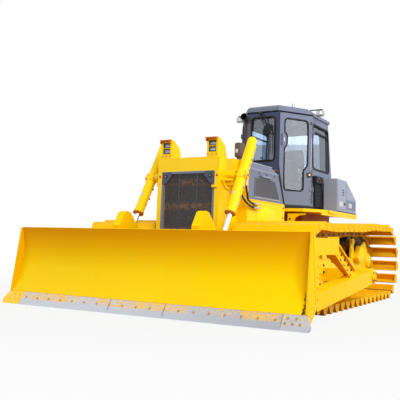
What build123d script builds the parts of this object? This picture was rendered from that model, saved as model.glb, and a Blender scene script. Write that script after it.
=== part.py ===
from build123d import *
import math
import os

# Crawler dozer: straight blade on outside push arms, two lift cylinders, wide tracks, closed cab.
# Millimetres. +X is the machine's left, -Y its front, +Z up. The ground is z = 0.

# ---- overall, as distances behind the cutting edge ----
NOSE_LENGTH = 2962  # cutting edge to the cab
CAB_LENGTH = 1538
TAIL_LENGTH = 350  # cab to the rear face
DRAWBAR_REACH = 410
BODY_LENGTH = NOSE_LENGTH + CAB_LENGTH + TAIL_LENGTH
OVERALL_LENGTH = BODY_LENGTH + DRAWBAR_REACH
FRONT = -OVERALL_LENGTH / 2  # the cutting edge
HOOD_REAR = FRONT + NOSE_LENGTH
CAB_REAR = HOOD_REAR + CAB_LENGTH
REAR_FACE = FRONT + BODY_LENGTH
RUN_GAP = 0.4  # radial clearance of a pin in its bore
SEAT_GAP = 0.3  # gap of a curved or slanted piece at its seat
MOVE_GAP = 8  # clearance between pieces that move past each other
PLATE = 20  # usual welded plate

# ---- tracks ----
TRACK_GAUGE = 2300
TRACK_X = TRACK_GAUGE / 2
SHOE_WIDTH = 1100
SHOE_PITCH = 203
SHOE_BASE = 186  # shoe's length along the chain at its base
SHOE_TIP = 40  # and at the ground
SHOE_DEPTH = 104
SHOE_RECESS = 18
LINK_HALF = 50  # pin line to the shoe's base, and to the roller surface
RAIL_IN, RAIL_OUT = 45, 95  # each link rail, from the track's centre line
RAIL_COVER = 36  # rails' rise into the middle of each shoe
PIN_LINE = SHOE_DEPTH + LINK_HALF  # height of the pins on the bottom run
SPROCKET_R = 440  # pin circle
SPROCKET_TEETH = 27
IDLER_R = 400
WHEEL_SPAN = 2935  # idler to sprocket
IDLER_Y = FRONT + 1322
IDLER_Z = PIN_LINE + IDLER_R
SPROCKET_Y = IDLER_Y + WHEEL_SPAN
SPROCKET_Z = PIN_LINE + SPROCKET_R
# carrier rollers: station behind the idler, height of the chain's pins above them
CARRIERS = [(978, 958), (WHEEL_SPAN - 757, 1018)]
CHAIN_SAG = 16  # at the middle of each upper span
CARRIER_R = 72
ROLLER_R = 100
ROLLER_COUNT = 7
ROLLER_FIRST, ROLLER_LAST = 468, 517  # from the idler to the first, and from the last to the sprocket
ROLLER_STEP = (WHEEL_SPAN - ROLLER_FIRST - ROLLER_LAST) / (ROLLER_COUNT - 1)
FRAME_HALF = 170  # track frame's half width
FRAME_PLATE = 22
FRAME_TOP = 640
BEAM_Y, SHAFT_Y = IDLER_Y + 928, SPROCKET_Y - 857  # cross beam and pivot shaft under the frame

# ---- push arms and their pivots ----
ARM_BESIDE_TRACK = 100
ARM_WIDTH = 190
ARM_IN = TRACK_X + SHOE_WIDTH / 2 + ARM_BESIDE_TRACK
ARM_X = (ARM_IN, ARM_IN + ARM_WIDTH)
ARM_DEPTH = 180
ARM_FRONT_Z = 240
PIVOT_Y = IDLER_Y + 1078
PIVOT_Z = 430
PIVOT_PIN_R = 50
PIVOT_BOSS_R = 105
BRACE_WIDTH = 130
BRACE_REAR = PIVOT_Y - 1200

# ---- blade ----
BLADE_BESIDE_ARM = 40
BLADE_WIDTH = 2 * (ARM_X[1] + BLADE_BESIDE_ARM)
EDGE_CLEARANCE = 6  # the blade is parked just off the ground
EDGE_ANGLE = 60
EDGE_FACE = 172  # cutting edge, up its slope
EDGE_THICK = 22
EDGE_SEAM = 2
EDGE_MIDDLE = 768  # length of the middle plate
END_BIT_LENGTH = 253
EDGE_LENGTH = BLADE_WIDTH - 2 * END_BIT_LENGTH
END_BIT_TOP, END_BIT_TIP = BLADE_WIDTH / 2 + 8, BLADE_WIDTH / 2 + 58
BLADE_TOP = (FRONT + 186, 945)
MOLD_THICK = 24
BLADE_BACK = FRONT + 310
ARM_SEAT = BLADE_BACK + 60
BACK_LOW, BACK_HIGH = 190, BLADE_TOP[1] - 40  # stiffeners behind the mouldboard
HORN_X = (515, 622)
HORN_BASE = BLADE_TOP[1] - 245

# ---- lift cylinders ----
LIFT_X = 690
TRUNNION_Y, TRUNNION_Z = FRONT + 1105, 1660
EYE_Y, EYE_Z = FRONT + 425, 350
BARREL_R, BORE_R, ROD_R, COLLAR_R = 60, 46, 30, 72
COLLAR_HALF = 45
BARREL_ABOVE, BARREL_BELOW = 580, 556  # lengths either side of the trunnion
TRUNNION_PIN_R = 30
YOKE_BOSS_R = 60
ROD_LENGTH = 1262  # eye to the piston's inner face
PISTON = 50
EYE_R, EYE_WIDTH = 55, 50

# ---- front guard, hood and side boxes ----
GUARD_FRONT = FRONT + 942
GUARD_DEPTH = 360
GUARD_HALF = 464
GUARD_TOP = 1886
GUARD_FOOT = 560
GUARD_WALL = 25
GRILLE_HALF, GRILLE_FOOT, GRILLE_TOP = 400, GUARD_FOOT + 200, GUARD_TOP - 176
GRILLE_PITCH, GRILLE_BAR, GRILLE_RIM = 50, 8, 32
HOOD_TOP = GUARD_TOP + 20
SHEET = 16  # hood and cowl
SIDE_OUT = 600
SIDE_FOOT, SIDE_SEAM = 1000, 1395  # yellow side body's foot, and where the grey box starts
BOX_FRONT, BOX_REAR = FRONT + 1450, FRONT + 2560
COWL_HALF = 252

# ---- hoses ----
HOSE_R = 13
FITTING_R = 19
HOSE_X = (660, 600)  # upper and lower hose at the bracket
HOSE_Y = (FRONT + 1283, FRONT + 1240)
HOSE_PORT_Z = 1597
UNION_X, UNION_Y = 640, FRONT + 1590
UNION_Z = (1335, 1285)

# ---- cab ----
CAB_FOOT, CAB_TOP = 1372, 2920
ROOF_TOP = CAB_TOP + 90
CAB_WALL = 45
DOOR_GAP, DOOR_SKIN = 6, 22
DOOR_EDGE = 14  # wall corner to the door's edge
DOOR_FOOT, DOOR_TOP = CAB_FOOT + 68, CAB_TOP - 30
HINGE_OUT, HINGE_BEYOND = 40, 8  # hinge line outside the wall, and past the door's rear edge
HINGE_PIN_R = 6
HINGE_HEIGHTS = (CAB_FOOT + 328, CAB_TOP - 280)
KNUCKLE = 60
PANE = 8
# wall corners on the plan at the cab's foot, left side, front to rear: half width, station
CAB_FRONT_CORNER = (270, HOOD_REAR + 13)
CAB_MID_CORNER = (640, HOOD_REAR + 531)
CAB_REAR_CORNER = (640, CAB_REAR)
REAR_LEAN, SIDE_LEAN = 7.5, 1.8
PLATFORM_Z = (1326, CAB_FOOT)
FENDER_EDGE = 940
FENDER_LIP = 1288  # foot of the deck's outer lip
SEAT_Y = CAB_REAR - 800  # front of the cushion
STACK_X, STACK_Y = -120, HOOD_REAR - 282
STACK_R, STACK_BEND, STACK_TURN = 58, 100, 80

# ---- rear ----
CASE_HALF = 430
CASE_FRONT = FRONT + 3600
FRAME_FRONT = GUARD_FRONT + 18
RAIL_FOOT, RAIL_TOP = 480, 900
HOLE_SPAN_X, HOLE_SPAN_Z, HOLE_Z, HOLE_R, HOLE_DEPTH = 560, 320, 900, 17, 60
DRAWBAR_Z = 520
DRAWBAR_PIN_R = 26
DRAWBAR_PIN_IN = 90  # pin line to the drawbar's end
TANK_HALF = 699
TANK_TOP, TANK_EDGE = 1790, 1620  # its top, and the height where its slope ends

HUGE = 4000  # size of cutting blocks


def block(x, y, z):
    """Box between two limits along each axis."""
    size = (x[1] - x[0], y[1] - y[0], z[1] - z[0])
    return Pos((x[0] + x[1]) / 2, (y[0] + y[1]) / 2, (z[0] + z[1]) / 2) * Box(*size)


def run_x(outline, x):
    """Outline of (y, z) points, or its edges, run from x[0] to x[1]."""
    edges = Polyline(*outline, close=True) if isinstance(outline, list) else outline
    return extrude(Plane.YZ.offset(x[0]) * make_face(edges), amount=x[1] - x[0], dir=(1, 0, 0))


def run_y(outline, y):
    """Outline of (x, z) points run from y[0] to y[1]."""
    face = Plane.XZ.offset(-y[0]) * make_face(Polyline(*outline, close=True))
    return extrude(face, amount=y[1] - y[0], dir=(0, 1, 0))


def run_z(outline, z):
    """Outline of (x, y) points run from z[0] to z[1]."""
    face = Plane.XY.offset(z[0]) * make_face(Polyline(*outline, close=True))
    return extrude(face, amount=z[1] - z[0], dir=(0, 0, 1))


def drum_x(y, z, radius, x):
    """Cylinder along X between x[0] and x[1]."""
    return Pos((x[0] + x[1]) / 2, y, z) * Rot(0, 90, 0) * Cylinder(radius, x[1] - x[0])


def both_sides(piece):
    """The left-hand piece and its mirror image."""
    return Compound([*piece.solids(), *mirror(piece, about=Plane.YZ).solids()])


def about(centre, half):
    """Limits either side of a centre."""
    return (centre - half, centre + half)


# ---------------------------------------------------------------- blade

EDGE_COS, EDGE_SIN = math.cos(math.radians(EDGE_ANGLE)), math.sin(math.radians(EDGE_ANGLE))
FOOT = (FRONT + EDGE_FACE * EDGE_COS, EDGE_CLEARANCE + EDGE_FACE * EDGE_SIN)
EDGE_PLANE = Plane(origin=(0, *FOOT), x_dir=(1, 0, 0), z_dir=(0, EDGE_SIN, -EDGE_COS))

# the mouldboard's face is one arc that leaves the cutting edge's slope and ends at the blade's top
CHORD = math.dist(FOOT, BLADE_TOP)
CHORD_ANGLE = math.degrees(math.atan2(BLADE_TOP[1] - FOOT[1], BLADE_TOP[0] - FOOT[0]))
HALF_TURN = CHORD_ANGLE - EDGE_ANGLE
MOLD_R = CHORD / 2 / math.sin(math.radians(HALF_TURN))
MOLD_CENTRE = (FOOT[0] - MOLD_R * EDGE_SIN, FOOT[1] + MOLD_R * EDGE_COS)


def mold_point(share, behind):
    """Point (y, z) at a share of the way up the mouldboard's arc, some distance behind its face."""
    angle = math.radians(EDGE_ANGLE - 90 + 2 * HALF_TURN * share)
    radius = MOLD_R + behind
    return (MOLD_CENTRE[0] + radius * math.cos(angle), MOLD_CENTRE[1] + radius * math.sin(angle))


def mold_arc(behind):
    """Arc parallel to the mouldboard's face."""
    return ThreePointArc(*[mold_point(share, behind) for share in (0, 0.5, 1)])


def slope_plate(outline, behind):
    """Plate parallel to the cutting edge: outline of (x, distance down the slope), limits behind its face."""
    face = EDGE_PLANE.offset(behind[0]) * make_face(Polyline(*outline, close=True))
    plate = extrude(face, amount=behind[1] - behind[0], dir=tuple(EDGE_PLANE.z_dir))
    return plate - block((-HUGE, HUGE), about(FRONT, HUGE), (-HUGE, EDGE_CLEARANCE))


def moldboard():
    """Curved plate and the flat foot plate behind the cutting edge."""
    half = BLADE_WIDTH / 2 - PLATE
    front, back = mold_arc(0), mold_arc(MOLD_THICK)
    edges = Curve() + [front, back, Line(front @ 0, back @ 0), Line(front @ 1, back @ 1)]
    lap = 90
    down = EDGE_FACE * 0.6
    foot = slope_plate([(-half, -lap), (half, -lap), (half, down), (-half, down)],
                       (EDGE_THICK, EDGE_THICK + PLATE))
    return run_x(edges, (-half, half)) + foot


def cutting_edge():
    """Three bevelled plates bolted to the foot of the blade, with a seam between them."""
    half, middle = EDGE_LENGTH / 2, EDGE_MIDDLE / 2
    plates = []
    for x0, x1 in [(-half, -middle - EDGE_SEAM), (-middle, middle), (middle + EDGE_SEAM, half)]:
        plates.append(slope_plate([(x0, EDGE_SEAM), (x1, EDGE_SEAM), (x1, EDGE_FACE), (x0, EDGE_FACE)],
                                  (0, EDGE_THICK)))
    return Compound([plate.solid() for plate in plates])


def end_bits():
    """Plates that carry the cutting edge out past the blade's ends."""
    inner = EDGE_LENGTH / 2 + EDGE_SEAM
    outline = [(inner, EDGE_SEAM), (END_BIT_TOP, EDGE_SEAM), (END_BIT_TIP, EDGE_FACE - 62),
               (END_BIT_TIP, EDGE_FACE - 32), (END_BIT_TIP - 28, EDGE_FACE), (inner, EDGE_FACE)]
    return both_sides(slope_plate(outline, (0, EDGE_THICK)))


def blade_side_plates():
    """Plates that close the ends of the curved blade and reach down behind the end bits."""
    outer = BLADE_WIDTH / 2
    top = BLADE_TOP[1] + 6
    y, z = FOOT
    outline = [(y - 8, z + 4), (BLADE_TOP[0] - 14, top), (BLADE_TOP[0] + 44, top), (ARM_SEAT, top - 190),
               (ARM_SEAT, z + 95), (y + 70, z - 110), (y - 20, z - 110), (y + 21, z - 12)]
    return both_sides(run_x(outline, (outer - PLATE, outer)))


def blade_back():
    """Stiffening boxes and ribs behind the mouldboard, with the lugs for the lift rods."""
    half = BLADE_WIDTH / 2 - PLATE
    low, high = BACK_LOW, BACK_HIGH
    lower_box, upper_box = low + 160, high - 145
    arc = mold_arc(MOLD_THICK)
    fill_edges = Curve() + [arc, Line(arc @ 1, (BLADE_BACK, high)),
                            Line((BLADE_BACK, high), (BLADE_BACK, low)),
                            Line((BLADE_BACK, low), arc @ 0)]
    fill = run_x(fill_edges, (-half, half)) - run_x(fill_shadow(), (-half, half))
    depth = (FRONT, BLADE_BACK)
    plates = []
    for z0 in (low, lower_box, upper_box, high - PLATE):
        plates.append(fill & block((-half, half), depth, (z0, z0 + PLATE)))
    for z in ((low, lower_box + PLATE), (upper_box, high)):
        plates.append(block((-half, half), (BLADE_BACK - PLATE, BLADE_BACK), z))
    for x in (0, 350, HORN_X[0] + 10, HORN_X[1] - 10, half - 860, half - 360, half - PLATE / 2):
        for side in (-1, 1):
            plates.append(fill & block(about(side * x, PLATE / 2), depth, (low, high)))
    return plates[0].fuse(*plates[1:], *lift_lugs())


def fill_shadow():
    """Strip behind the foot plate that the stiffeners leave free."""
    a, b = mold_point(0, 0), mold_point(0.14, 0)
    return [(a[0] - 60, a[1] - 60), (a[0] + EDGE_THICK + PLATE + 30, a[1] - 60),
            (b[0] + EDGE_THICK + PLATE + 6, b[1]), (b[0], b[1])]


def lift_lugs():
    """Pairs of lugs either side of each rod eye."""
    gap = EYE_WIDTH / 2 + MOVE_GAP
    outline = [(BLADE_BACK - 1, EYE_Z - 110), (EYE_Y + 10, EYE_Z - 60), (EYE_Y + 60, EYE_Z - 30),
               (EYE_Y + 60, EYE_Z + 30), (EYE_Y + 10, EYE_Z + 65), (BLADE_BACK - 1, EYE_Z + 130)]
    lugs = []
    for side in (-1, 1):
        for x0 in (gap, -gap - PLATE):
            lugs.append(run_x(outline, (side * LIFT_X + x0, side * LIFT_X + x0 + PLATE)))
    return lugs


def blade_horns():
    """Box ribs that rise behind the blade's top edge and shield the lift rods."""
    y, z = BLADE_BACK, HORN_BASE
    outline = [(y + SEAT_GAP, z), (y + SEAT_GAP, z + 300), (y + 90, z + 460), (y + 130, z + 476),
               (y + 190, z + 460), (y + 354, z + 285), (y + 290, z + 140)]
    rib = run_x(outline, HORN_X)
    inner = [(y + PLATE, z + 20), (y + PLATE, z + 285), (y + 110, z + 440), (y + 180, z + 435),
             (y + 326, z + 276), (y + 270, z + 150)]
    return both_sides(rib - run_x(inner, (HORN_X[0] + PLATE, HORN_X[1] - PLATE)))


def push_arm():
    """Left push arm: a box beam from the blade's foot to a boss around the pivot."""
    half, front_z = ARM_DEPTH / 2, ARM_FRONT_Z
    beam = run_x([(ARM_SEAT, front_z - half), (ARM_SEAT, front_z + half), (PIVOT_Y, PIVOT_Z + half),
                  (PIVOT_Y, PIVOT_Z - half)], ARM_X)
    hollow = run_x([(ARM_SEAT + 40, front_z - half + 22), (ARM_SEAT + 40, front_z + half - 14),
                    (PIVOT_Y - 180, PIVOT_Z + half - 38), (PIVOT_Y - 180, PIVOT_Z - half + 6)],
                   (ARM_X[0] + PLATE, ARM_X[1] - PLATE))
    shoe = block(ARM_X, (BLADE_BACK, ARM_SEAT), (front_z - half, front_z + half + 60))
    arm = beam - hollow + shoe + drum_x(PIVOT_Y, PIVOT_Z, PIVOT_BOSS_R, ARM_X)
    return arm - drum_x(PIVOT_Y, PIVOT_Z, PIVOT_PIN_R + RUN_GAP, (ARM_X[0] - 10, ARM_X[1] - 30))


def push_brace():
    """Left brace: a box arm from the blade's top and a strut down to the push arm."""
    x = (ARM_X[0], ARM_X[0] + BRACE_WIDTH)
    z = (BACK_HIGH - 185, BACK_HIGH - 5)
    arm_slope = (PIVOT_Z - ARM_FRONT_Z) / (PIVOT_Y - ARM_SEAT)
    foot = [PIVOT_Y - 640, PIVOT_Y - 440]
    foot_z = [ARM_FRONT_Z + ARM_DEPTH / 2 + arm_slope * (y - ARM_SEAT) + SEAT_GAP for y in foot]
    rear = BRACE_REAR
    bar = block(x, (BLADE_BACK, rear), z)
    bar -= block((x[0] + PLATE, x[1] - PLATE), (BLADE_BACK + 30, rear - 30), (z[0] + PLATE, z[1] - PLATE))
    strut = run_x([(rear - 140, z[0] + PLATE), (rear - 20, z[1] - PLATE), (rear, z[1] - PLATE),
                   (foot[1], foot_z[1]), (foot[0], foot_z[0])], (x[0] + 10, x[1] - 30))
    return bar + strut


# ---------------------------------------------------------------- lift cylinders

LIFT_LENGTH = math.dist((TRUNNION_Y, TRUNNION_Z), (EYE_Y, EYE_Z))
LIFT_DIRECTION = (0, (EYE_Y - TRUNNION_Y) / LIFT_LENGTH, (EYE_Z - TRUNNION_Z) / LIFT_LENGTH)
LIFT_PLANE = Plane(origin=(LIFT_X, TRUNNION_Y, TRUNNION_Z), x_dir=(1, 0, 0), z_dir=LIFT_DIRECTION)


def along_lift(radius, start, end):
    """Cylinder on the lift axis, between two distances below the trunnion."""
    return LIFT_PLANE * Pos(0, 0, (start + end) / 2) * Cylinder(radius, end - start)


def lift_barrel():
    """Left barrel: tube, end cap, trunnion collar with its pins, and gland."""
    tube = along_lift(BARREL_R, -BARREL_ABOVE, BARREL_BELOW)
    tube += along_lift(BARREL_R + 8, BARREL_BELOW - 50, BARREL_BELOW)
    tube += along_lift(COLLAR_R, -COLLAR_HALF, COLLAR_HALF)
    tube += drum_x(TRUNNION_Y, TRUNNION_Z, TRUNNION_PIN_R, (GUARD_HALF + PLATE, LIFT_X))
    tube += drum_x(TRUNNION_Y, TRUNNION_Z, TRUNNION_PIN_R + 12, (LIFT_X, LIFT_X + COLLAR_R + 16))
    tube -= along_lift(BORE_R, -BARREL_ABOVE + 18, BARREL_BELOW - 30)
    return tube - along_lift(ROD_R + RUN_GAP, BARREL_BELOW - 40, BARREL_BELOW + 10)


def lift_rod():
    """Left rod: piston, rod and eye with its pin's heads."""
    inner = LIFT_LENGTH - ROD_LENGTH
    rod = along_lift(ROD_R, inner, LIFT_LENGTH - EYE_R + 10) + along_lift(BORE_R - 1, inner, inner + PISTON)
    eye = drum_x(EYE_Y, EYE_Z, EYE_R, about(LIFT_X, EYE_WIDTH / 2))
    return rod + eye


def lift_yokes():
    """Trunnion bosses on the guard's sides, each with its gusset and the bracket that the hoses hang from."""
    y, z = TRUNNION_Y, TRUNNION_Z
    outer = LIFT_X - COLLAR_R - MOVE_GAP
    base = run_x([(y - 120, z - 70), (y - 120, z + 50), (y - 50, z + 120), (y + 110, z + 120),
                  (y + 150, z + 60),
                  (y + 150, z - 130), (y + 60, z - 180), (y - 40, z - 160)], (GUARD_HALF, GUARD_HALF + PLATE))
    boss = drum_x(y, z, YOKE_BOSS_R, (GUARD_HALF, outer))
    gusset = run_z([(GUARD_HALF, y + 130), (GUARD_HALF, y - 100), (GUARD_HALF + 60, y - 60),
                    (outer - 10, y - 30),
                    (outer - 10, y + 40)], (z - 70, z - 40))
    rib = block((GUARD_HALF, outer - 20), about(y, 14), (z - 120, z - 20))
    arm = block((GUARD_HALF, HOSE_X[0] + 24), (HOSE_Y[1] - 18, GUARD_FRONT + GUARD_DEPTH - 2),
                (HOSE_PORT_Z + 25, HOSE_PORT_Z + 53))
    ports = [Pos(x, port_y, HOSE_PORT_Z + 15) * Cylinder(FITTING_R, 30) for x, port_y in zip(HOSE_X, HOSE_Y)]
    yoke = base.fuse(boss, gusset, rib, arm, *ports)
    return both_sides(yoke - drum_x(y, z, TRUNNION_PIN_R + RUN_GAP, (GUARD_HALF + PLATE, outer + 5)))


def hose(index):
    """Left hose from its port down and back to its union: 0 is the upper one, 1 the lower."""
    x, y, z = HOSE_X[index], HOSE_Y[index], HOSE_PORT_Z
    end_x, end_y, end_z = UNION_X, UNION_Y, UNION_Z[index]
    first, second, third, last = ((78, 31, 98, 106), (90, 39, 117, 117))[index]
    points = [(x, y, z), (x, y, z - first), (x + 2, y + second, z - first - (74, 97)[index]),
              (end_x - 8, y + third, end_z + (43, 47)[index]), (end_x, end_y - last, end_z),
              (end_x, end_y, end_z)]
    return tube(points, HOSE_R)


def tube(points, radius):
    """Round tube along straight runs, joined by arcs as large as each pair of runs allows."""
    places = [Vector(*point) for point in points]
    runs = [after - before for before, after in zip(places, places[1:])]
    radii = []
    for before, after in zip(runs, runs[1:]):
        half_turn = math.radians(before.get_angle(after) / 2)
        radii.append(0.45 * min(before.length, after.length) / math.tan(half_turn))
    print("arc radii", [round(radius) for radius in radii])
    path = FilletPolyline(*points, radius=radii)
    made = sweep(Plane(origin=points[0], z_dir=tuple(runs[0])) * Circle(radius), path=path)
    print("tube", round(path.length), "mm, volume over section times length",
          round(made.volume / (math.pi * radius**2 * path.length), 4))
    return made


# ---------------------------------------------------------------- tracks

def track_path():
    """Pin line of one track as (kind, data) stretches: lines between points and arcs about a centre."""
    front_top = (IDLER_Y, IDLER_Z + IDLER_R)
    rear_top = (SPROCKET_Y, SPROCKET_Z + SPROCKET_R)
    supports = [rear_top] + [(IDLER_Y + y, z) for y, z in reversed(CARRIERS)] + [front_top]
    stretches = [("line", (IDLER_Y, PIN_LINE), (SPROCKET_Y, PIN_LINE)),
                 ("arc", (SPROCKET_Y, SPROCKET_Z), SPROCKET_R, -90)]
    for start, end in zip(supports, supports[1:]):
        middle = ((start[0] + end[0]) / 2, (start[1] + end[1]) / 2 - CHAIN_SAG)
        stretches.append(("line", start, middle))
        stretches.append(("line", middle, end))
    return stretches + [("arc", (IDLER_Y, IDLER_Z), IDLER_R, 90)]


def stretch_length(stretch):
    """Length of one stretch of the pin line."""
    if stretch[0] == "line":
        return math.dist(stretch[1], stretch[2])
    return math.pi * stretch[2]


def pin_places():
    """Every pin of the chain, evenly spaced along the pin line."""
    stretches = track_path()
    total = sum(stretch_length(stretch) for stretch in stretches)
    count = round(total / SHOE_PITCH)
    places = []
    for index in range(count):
        distance = index * total / count
        for stretch in stretches:
            length = stretch_length(stretch)
            if distance < length:
                break
            distance -= length
        if stretch[0] == "line":
            share = distance / length
            (y0, z0), (y1, z1) = stretch[1:]
            places.append((y0 + share * (y1 - y0), z0 + share * (z1 - z0)))
        else:
            angle = math.radians(stretch[3] + 180 * distance / length)
            places.append((stretch[1][0] + stretch[2] * math.cos(angle),
                           stretch[1][1] + stretch[2] * math.sin(angle)))
    return places


def offset_loop(points, distance):
    """Closed polygon moved outwards by a distance (inwards if negative), corner by corner."""
    moved = []
    for index, (y, z) in enumerate(points):
        before, after = points[index - 1], points[(index + 1) % len(points)]
        first = math.atan2(z - before[1], y - before[0])
        second = math.atan2(after[1] - z, after[0] - y)
        half = math.remainder(second - first, 2 * math.pi) / 2
        outward = first + half - math.pi / 2
        reach = distance / math.cos(half)
        moved.append((y + reach * math.cos(outward), z + reach * math.sin(outward)))
    return moved


def on_link(start, end, along, out):
    """Side view point on the link between two pins: along it from its middle, and out of the pin line."""
    angle = math.atan2(end[1] - start[1], end[0] - start[0])
    y, z = (start[0] + end[0]) / 2, (start[1] + end[1]) / 2
    return (y + along * math.cos(angle) + out * math.sin(angle),
            z + along * math.sin(angle) - out * math.cos(angle))


def shoe(start, end):
    """Left-hand track's shoe on the link between two pins: a hollow-backed bar with a narrow tip."""
    base, tip = SHOE_BASE / 2, SHOE_TIP / 2
    outline = [(-base, 0), (-tip, SHOE_DEPTH), (tip, SHOE_DEPTH), (base, 0), (0, SHOE_RECESS)]
    points = [on_link(start, end, along, LINK_HALF + out) for along, out in outline]
    return run_x(points, about(TRACK_X, SHOE_WIDTH / 2))


def track():
    """Left track: two link rails with every shoe fused to them."""
    pins = pin_places()
    links = list(zip(pins, pins[1:] + pins[:1]))
    outer = [on_link(start, end, 0, LINK_HALF + RAIL_COVER) for start, end in links]
    inner = offset_loop(pins, -LINK_HALF)
    rails = []
    for x in ((TRACK_X - RAIL_OUT, TRACK_X - RAIL_IN), (TRACK_X + RAIL_IN, TRACK_X + RAIL_OUT)):
        rails.append(run_x(outer, x) - run_x(inner, x))
    return rails[0].fuse(rails[1], *[shoe(start, end) for start, end in links])


def sprocket():
    """Left sprocket: toothed rim between the rails, dished disc and bolted ring."""
    tooth = 30
    root, tip = SPROCKET_R - LINK_HALF, SPROCKET_R + 22
    outline = []
    for index in range(SPROCKET_TEETH):
        middle = 360 * index / SPROCKET_TEETH
        for radius, shift in ((root, -4.6), (tip, -1.6), (tip, 1.6), (root, 4.6)):
            angle = math.radians(middle + shift)
            outline.append((SPROCKET_Y + radius * math.cos(angle), SPROCKET_Z + radius * math.sin(angle)))
    rim = run_x(outline, about(TRACK_X, tooth))
    rim += drum_x(SPROCKET_Y, SPROCKET_Z, 300, about(TRACK_X, tooth + 20))
    return rim - drum_x(SPROCKET_Y, SPROCKET_Z, 200 + SEAT_GAP, about(TRACK_X, 200))


def final_drives():
    """Final drive cases from the rear case out through the sprockets."""
    y, z = SPROCKET_Y, SPROCKET_Z
    case = drum_x(y, z, 290, (CASE_HALF, TRACK_X - 110)) + drum_x(y, z, 200, (CASE_HALF, TRACK_X + 140))
    case += drum_x(y, z, 120, (CASE_HALF, TRACK_X + 190))
    return both_sides(case)


def idler():
    """Left idler: two treads for the rails and a centre flange."""
    y, z = IDLER_Y, IDLER_Z
    tread = math.sqrt(IDLER_R**2 - (SHOE_PITCH / 2) ** 2) - LINK_HALF - 2 * SEAT_GAP
    wheel = drum_x(y, z, tread, about(TRACK_X, RAIL_OUT + 3))
    wheel += drum_x(y, z, tread + 22, about(TRACK_X, RAIL_IN - 7))
    for x in (about(TRACK_X + 90, 40), about(TRACK_X - 90, 40)):
        wheel -= drum_x(y, z, tread - 40, x)
    wheel += drum_x(y, z, 110, about(TRACK_X, 125))
    return wheel + drum_x(y, z, 45, about(TRACK_X, FRAME_HALF - FRAME_PLATE))


def roller(y, z, radius, reach):
    """Flanged roller on its shaft."""
    body = drum_x(y, z, radius, about(TRACK_X, RAIL_OUT + 3))
    body += drum_x(y, z, radius + 16, about(TRACK_X, RAIL_IN - 7))
    groove = drum_x(y, z, radius + 30, about(TRACK_X, RAIL_IN - 15))
    body -= groove - drum_x(y, z, radius - 12, about(TRACK_X, RAIL_IN))
    return body + drum_x(y, z, 32, about(TRACK_X, reach))


ROLLER_Z = PIN_LINE + LINK_HALF + ROLLER_R + SEAT_GAP
ROLLER_YS = [IDLER_Y + ROLLER_FIRST + ROLLER_STEP * index for index in range(ROLLER_COUNT)]


def track_rollers():
    """Bottom rollers of both tracks."""
    reach = FRAME_HALF - FRAME_PLATE
    solids = [roller(y, ROLLER_Z, ROLLER_R, reach).solid() for y in ROLLER_YS]
    return both_sides(Compound(solids))


def carrier_places():
    """Centre (y, z) of each carrier roller, under the chain."""
    return [(IDLER_Y + y, z - LINK_HALF - CARRIER_R - 6) for y, z in CARRIERS]


def carrier_rollers():
    """Upper rollers of both tracks."""
    solids = []
    for y, z in carrier_places():
        wheel = drum_x(y, z, CARRIER_R, about(TRACK_X, RAIL_OUT + 3))
        wheel += drum_x(y, z, CARRIER_R + 14, about(TRACK_X - RAIL_OUT - 11, 8))
        wheel += drum_x(y, z, CARRIER_R + 14, about(TRACK_X + RAIL_OUT + 11, 8))
        wheel -= drum_x(y, z, CARRIER_R + 5, about(TRACK_X, 30)) - drum_x(y, z, 50, about(TRACK_X, 40))
        solids.append((wheel + drum_x(y, z, 30, (TRACK_X, TRACK_X + FRAME_HALF))).solid())
    return both_sides(Compound(solids))


def track_frame():
    """Left track frame: channel over the rollers, idler fork, roller posts and the push arm's pivot."""
    outer, inner = FRAME_HALF, FRAME_HALF - FRAME_PLATE
    front, rear = IDLER_Y + 375, SPROCKET_Y - 475
    y_tail = SPROCKET_Y + 30
    frame = block(about(TRACK_X, outer), (front, rear), (FRAME_TOP - FRAME_PLATE, FRAME_TOP))
    fork = [(IDLER_Y - 110, IDLER_Z - 60), (IDLER_Y - 110, IDLER_Z + 60), (front, FRAME_TOP),
            (rear, FRAME_TOP),
            (rear + 190, FRAME_TOP + 190), (SPROCKET_Y - 120, 900), (y_tail, 760), (y_tail, 440),
            (rear, 270), (front + 60, 270), (IDLER_Y + 120, IDLER_Z - 70)]
    axle = drum_x(SPROCKET_Y, SPROCKET_Z, 120 + RUN_GAP, about(TRACK_X, 400))
    for x in ((TRACK_X + inner, TRACK_X + outer), (TRACK_X - outer, TRACK_X - inner)):
        frame += run_x(fork, x)
    frame -= block((TRACK_X - outer - 5, TRACK_X - inner + 5), (rear + 30, HUGE), (0, HUGE)) + axle
    for y, z in carrier_places():
        x = (TRACK_X + inner, TRACK_X + outer)
        post = run_x([(y - 70, FRAME_TOP - 5), (y + 130, FRAME_TOP - 5), (y + 45, z + 40), (y - 45, z + 40)],
                     x)
        frame += post - drum_x(y, z, 30 + RUN_GAP, about(TRACK_X, 400))
    return frame + pivot_stub()


def pivot_stub():
    """Beam under the chain that carries the left push arm's pin."""
    stub = block((TRACK_X + FRAME_HALF - 5, ARM_X[0] - MOVE_GAP), about(PIVOT_Y, 85), about(PIVOT_Z, 85))
    return stub + drum_x(PIVOT_Y, PIVOT_Z, PIVOT_PIN_R, (ARM_X[0] - 20, ARM_X[1] - 40))


# ---------------------------------------------------------------- main frame


def main_frame():
    """Two side rails, belly plate and front cross box."""
    frame = block(about(0, GUARD_HALF), (FRAME_FRONT, CASE_FRONT), (RAIL_FOOT, RAIL_TOP))
    frame -= block(about(0, GUARD_HALF - 40), (FRAME_FRONT + 60, CASE_FRONT + 10),
                   (RAIL_FOOT + PLATE, RAIL_TOP + 10))
    return frame


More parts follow.
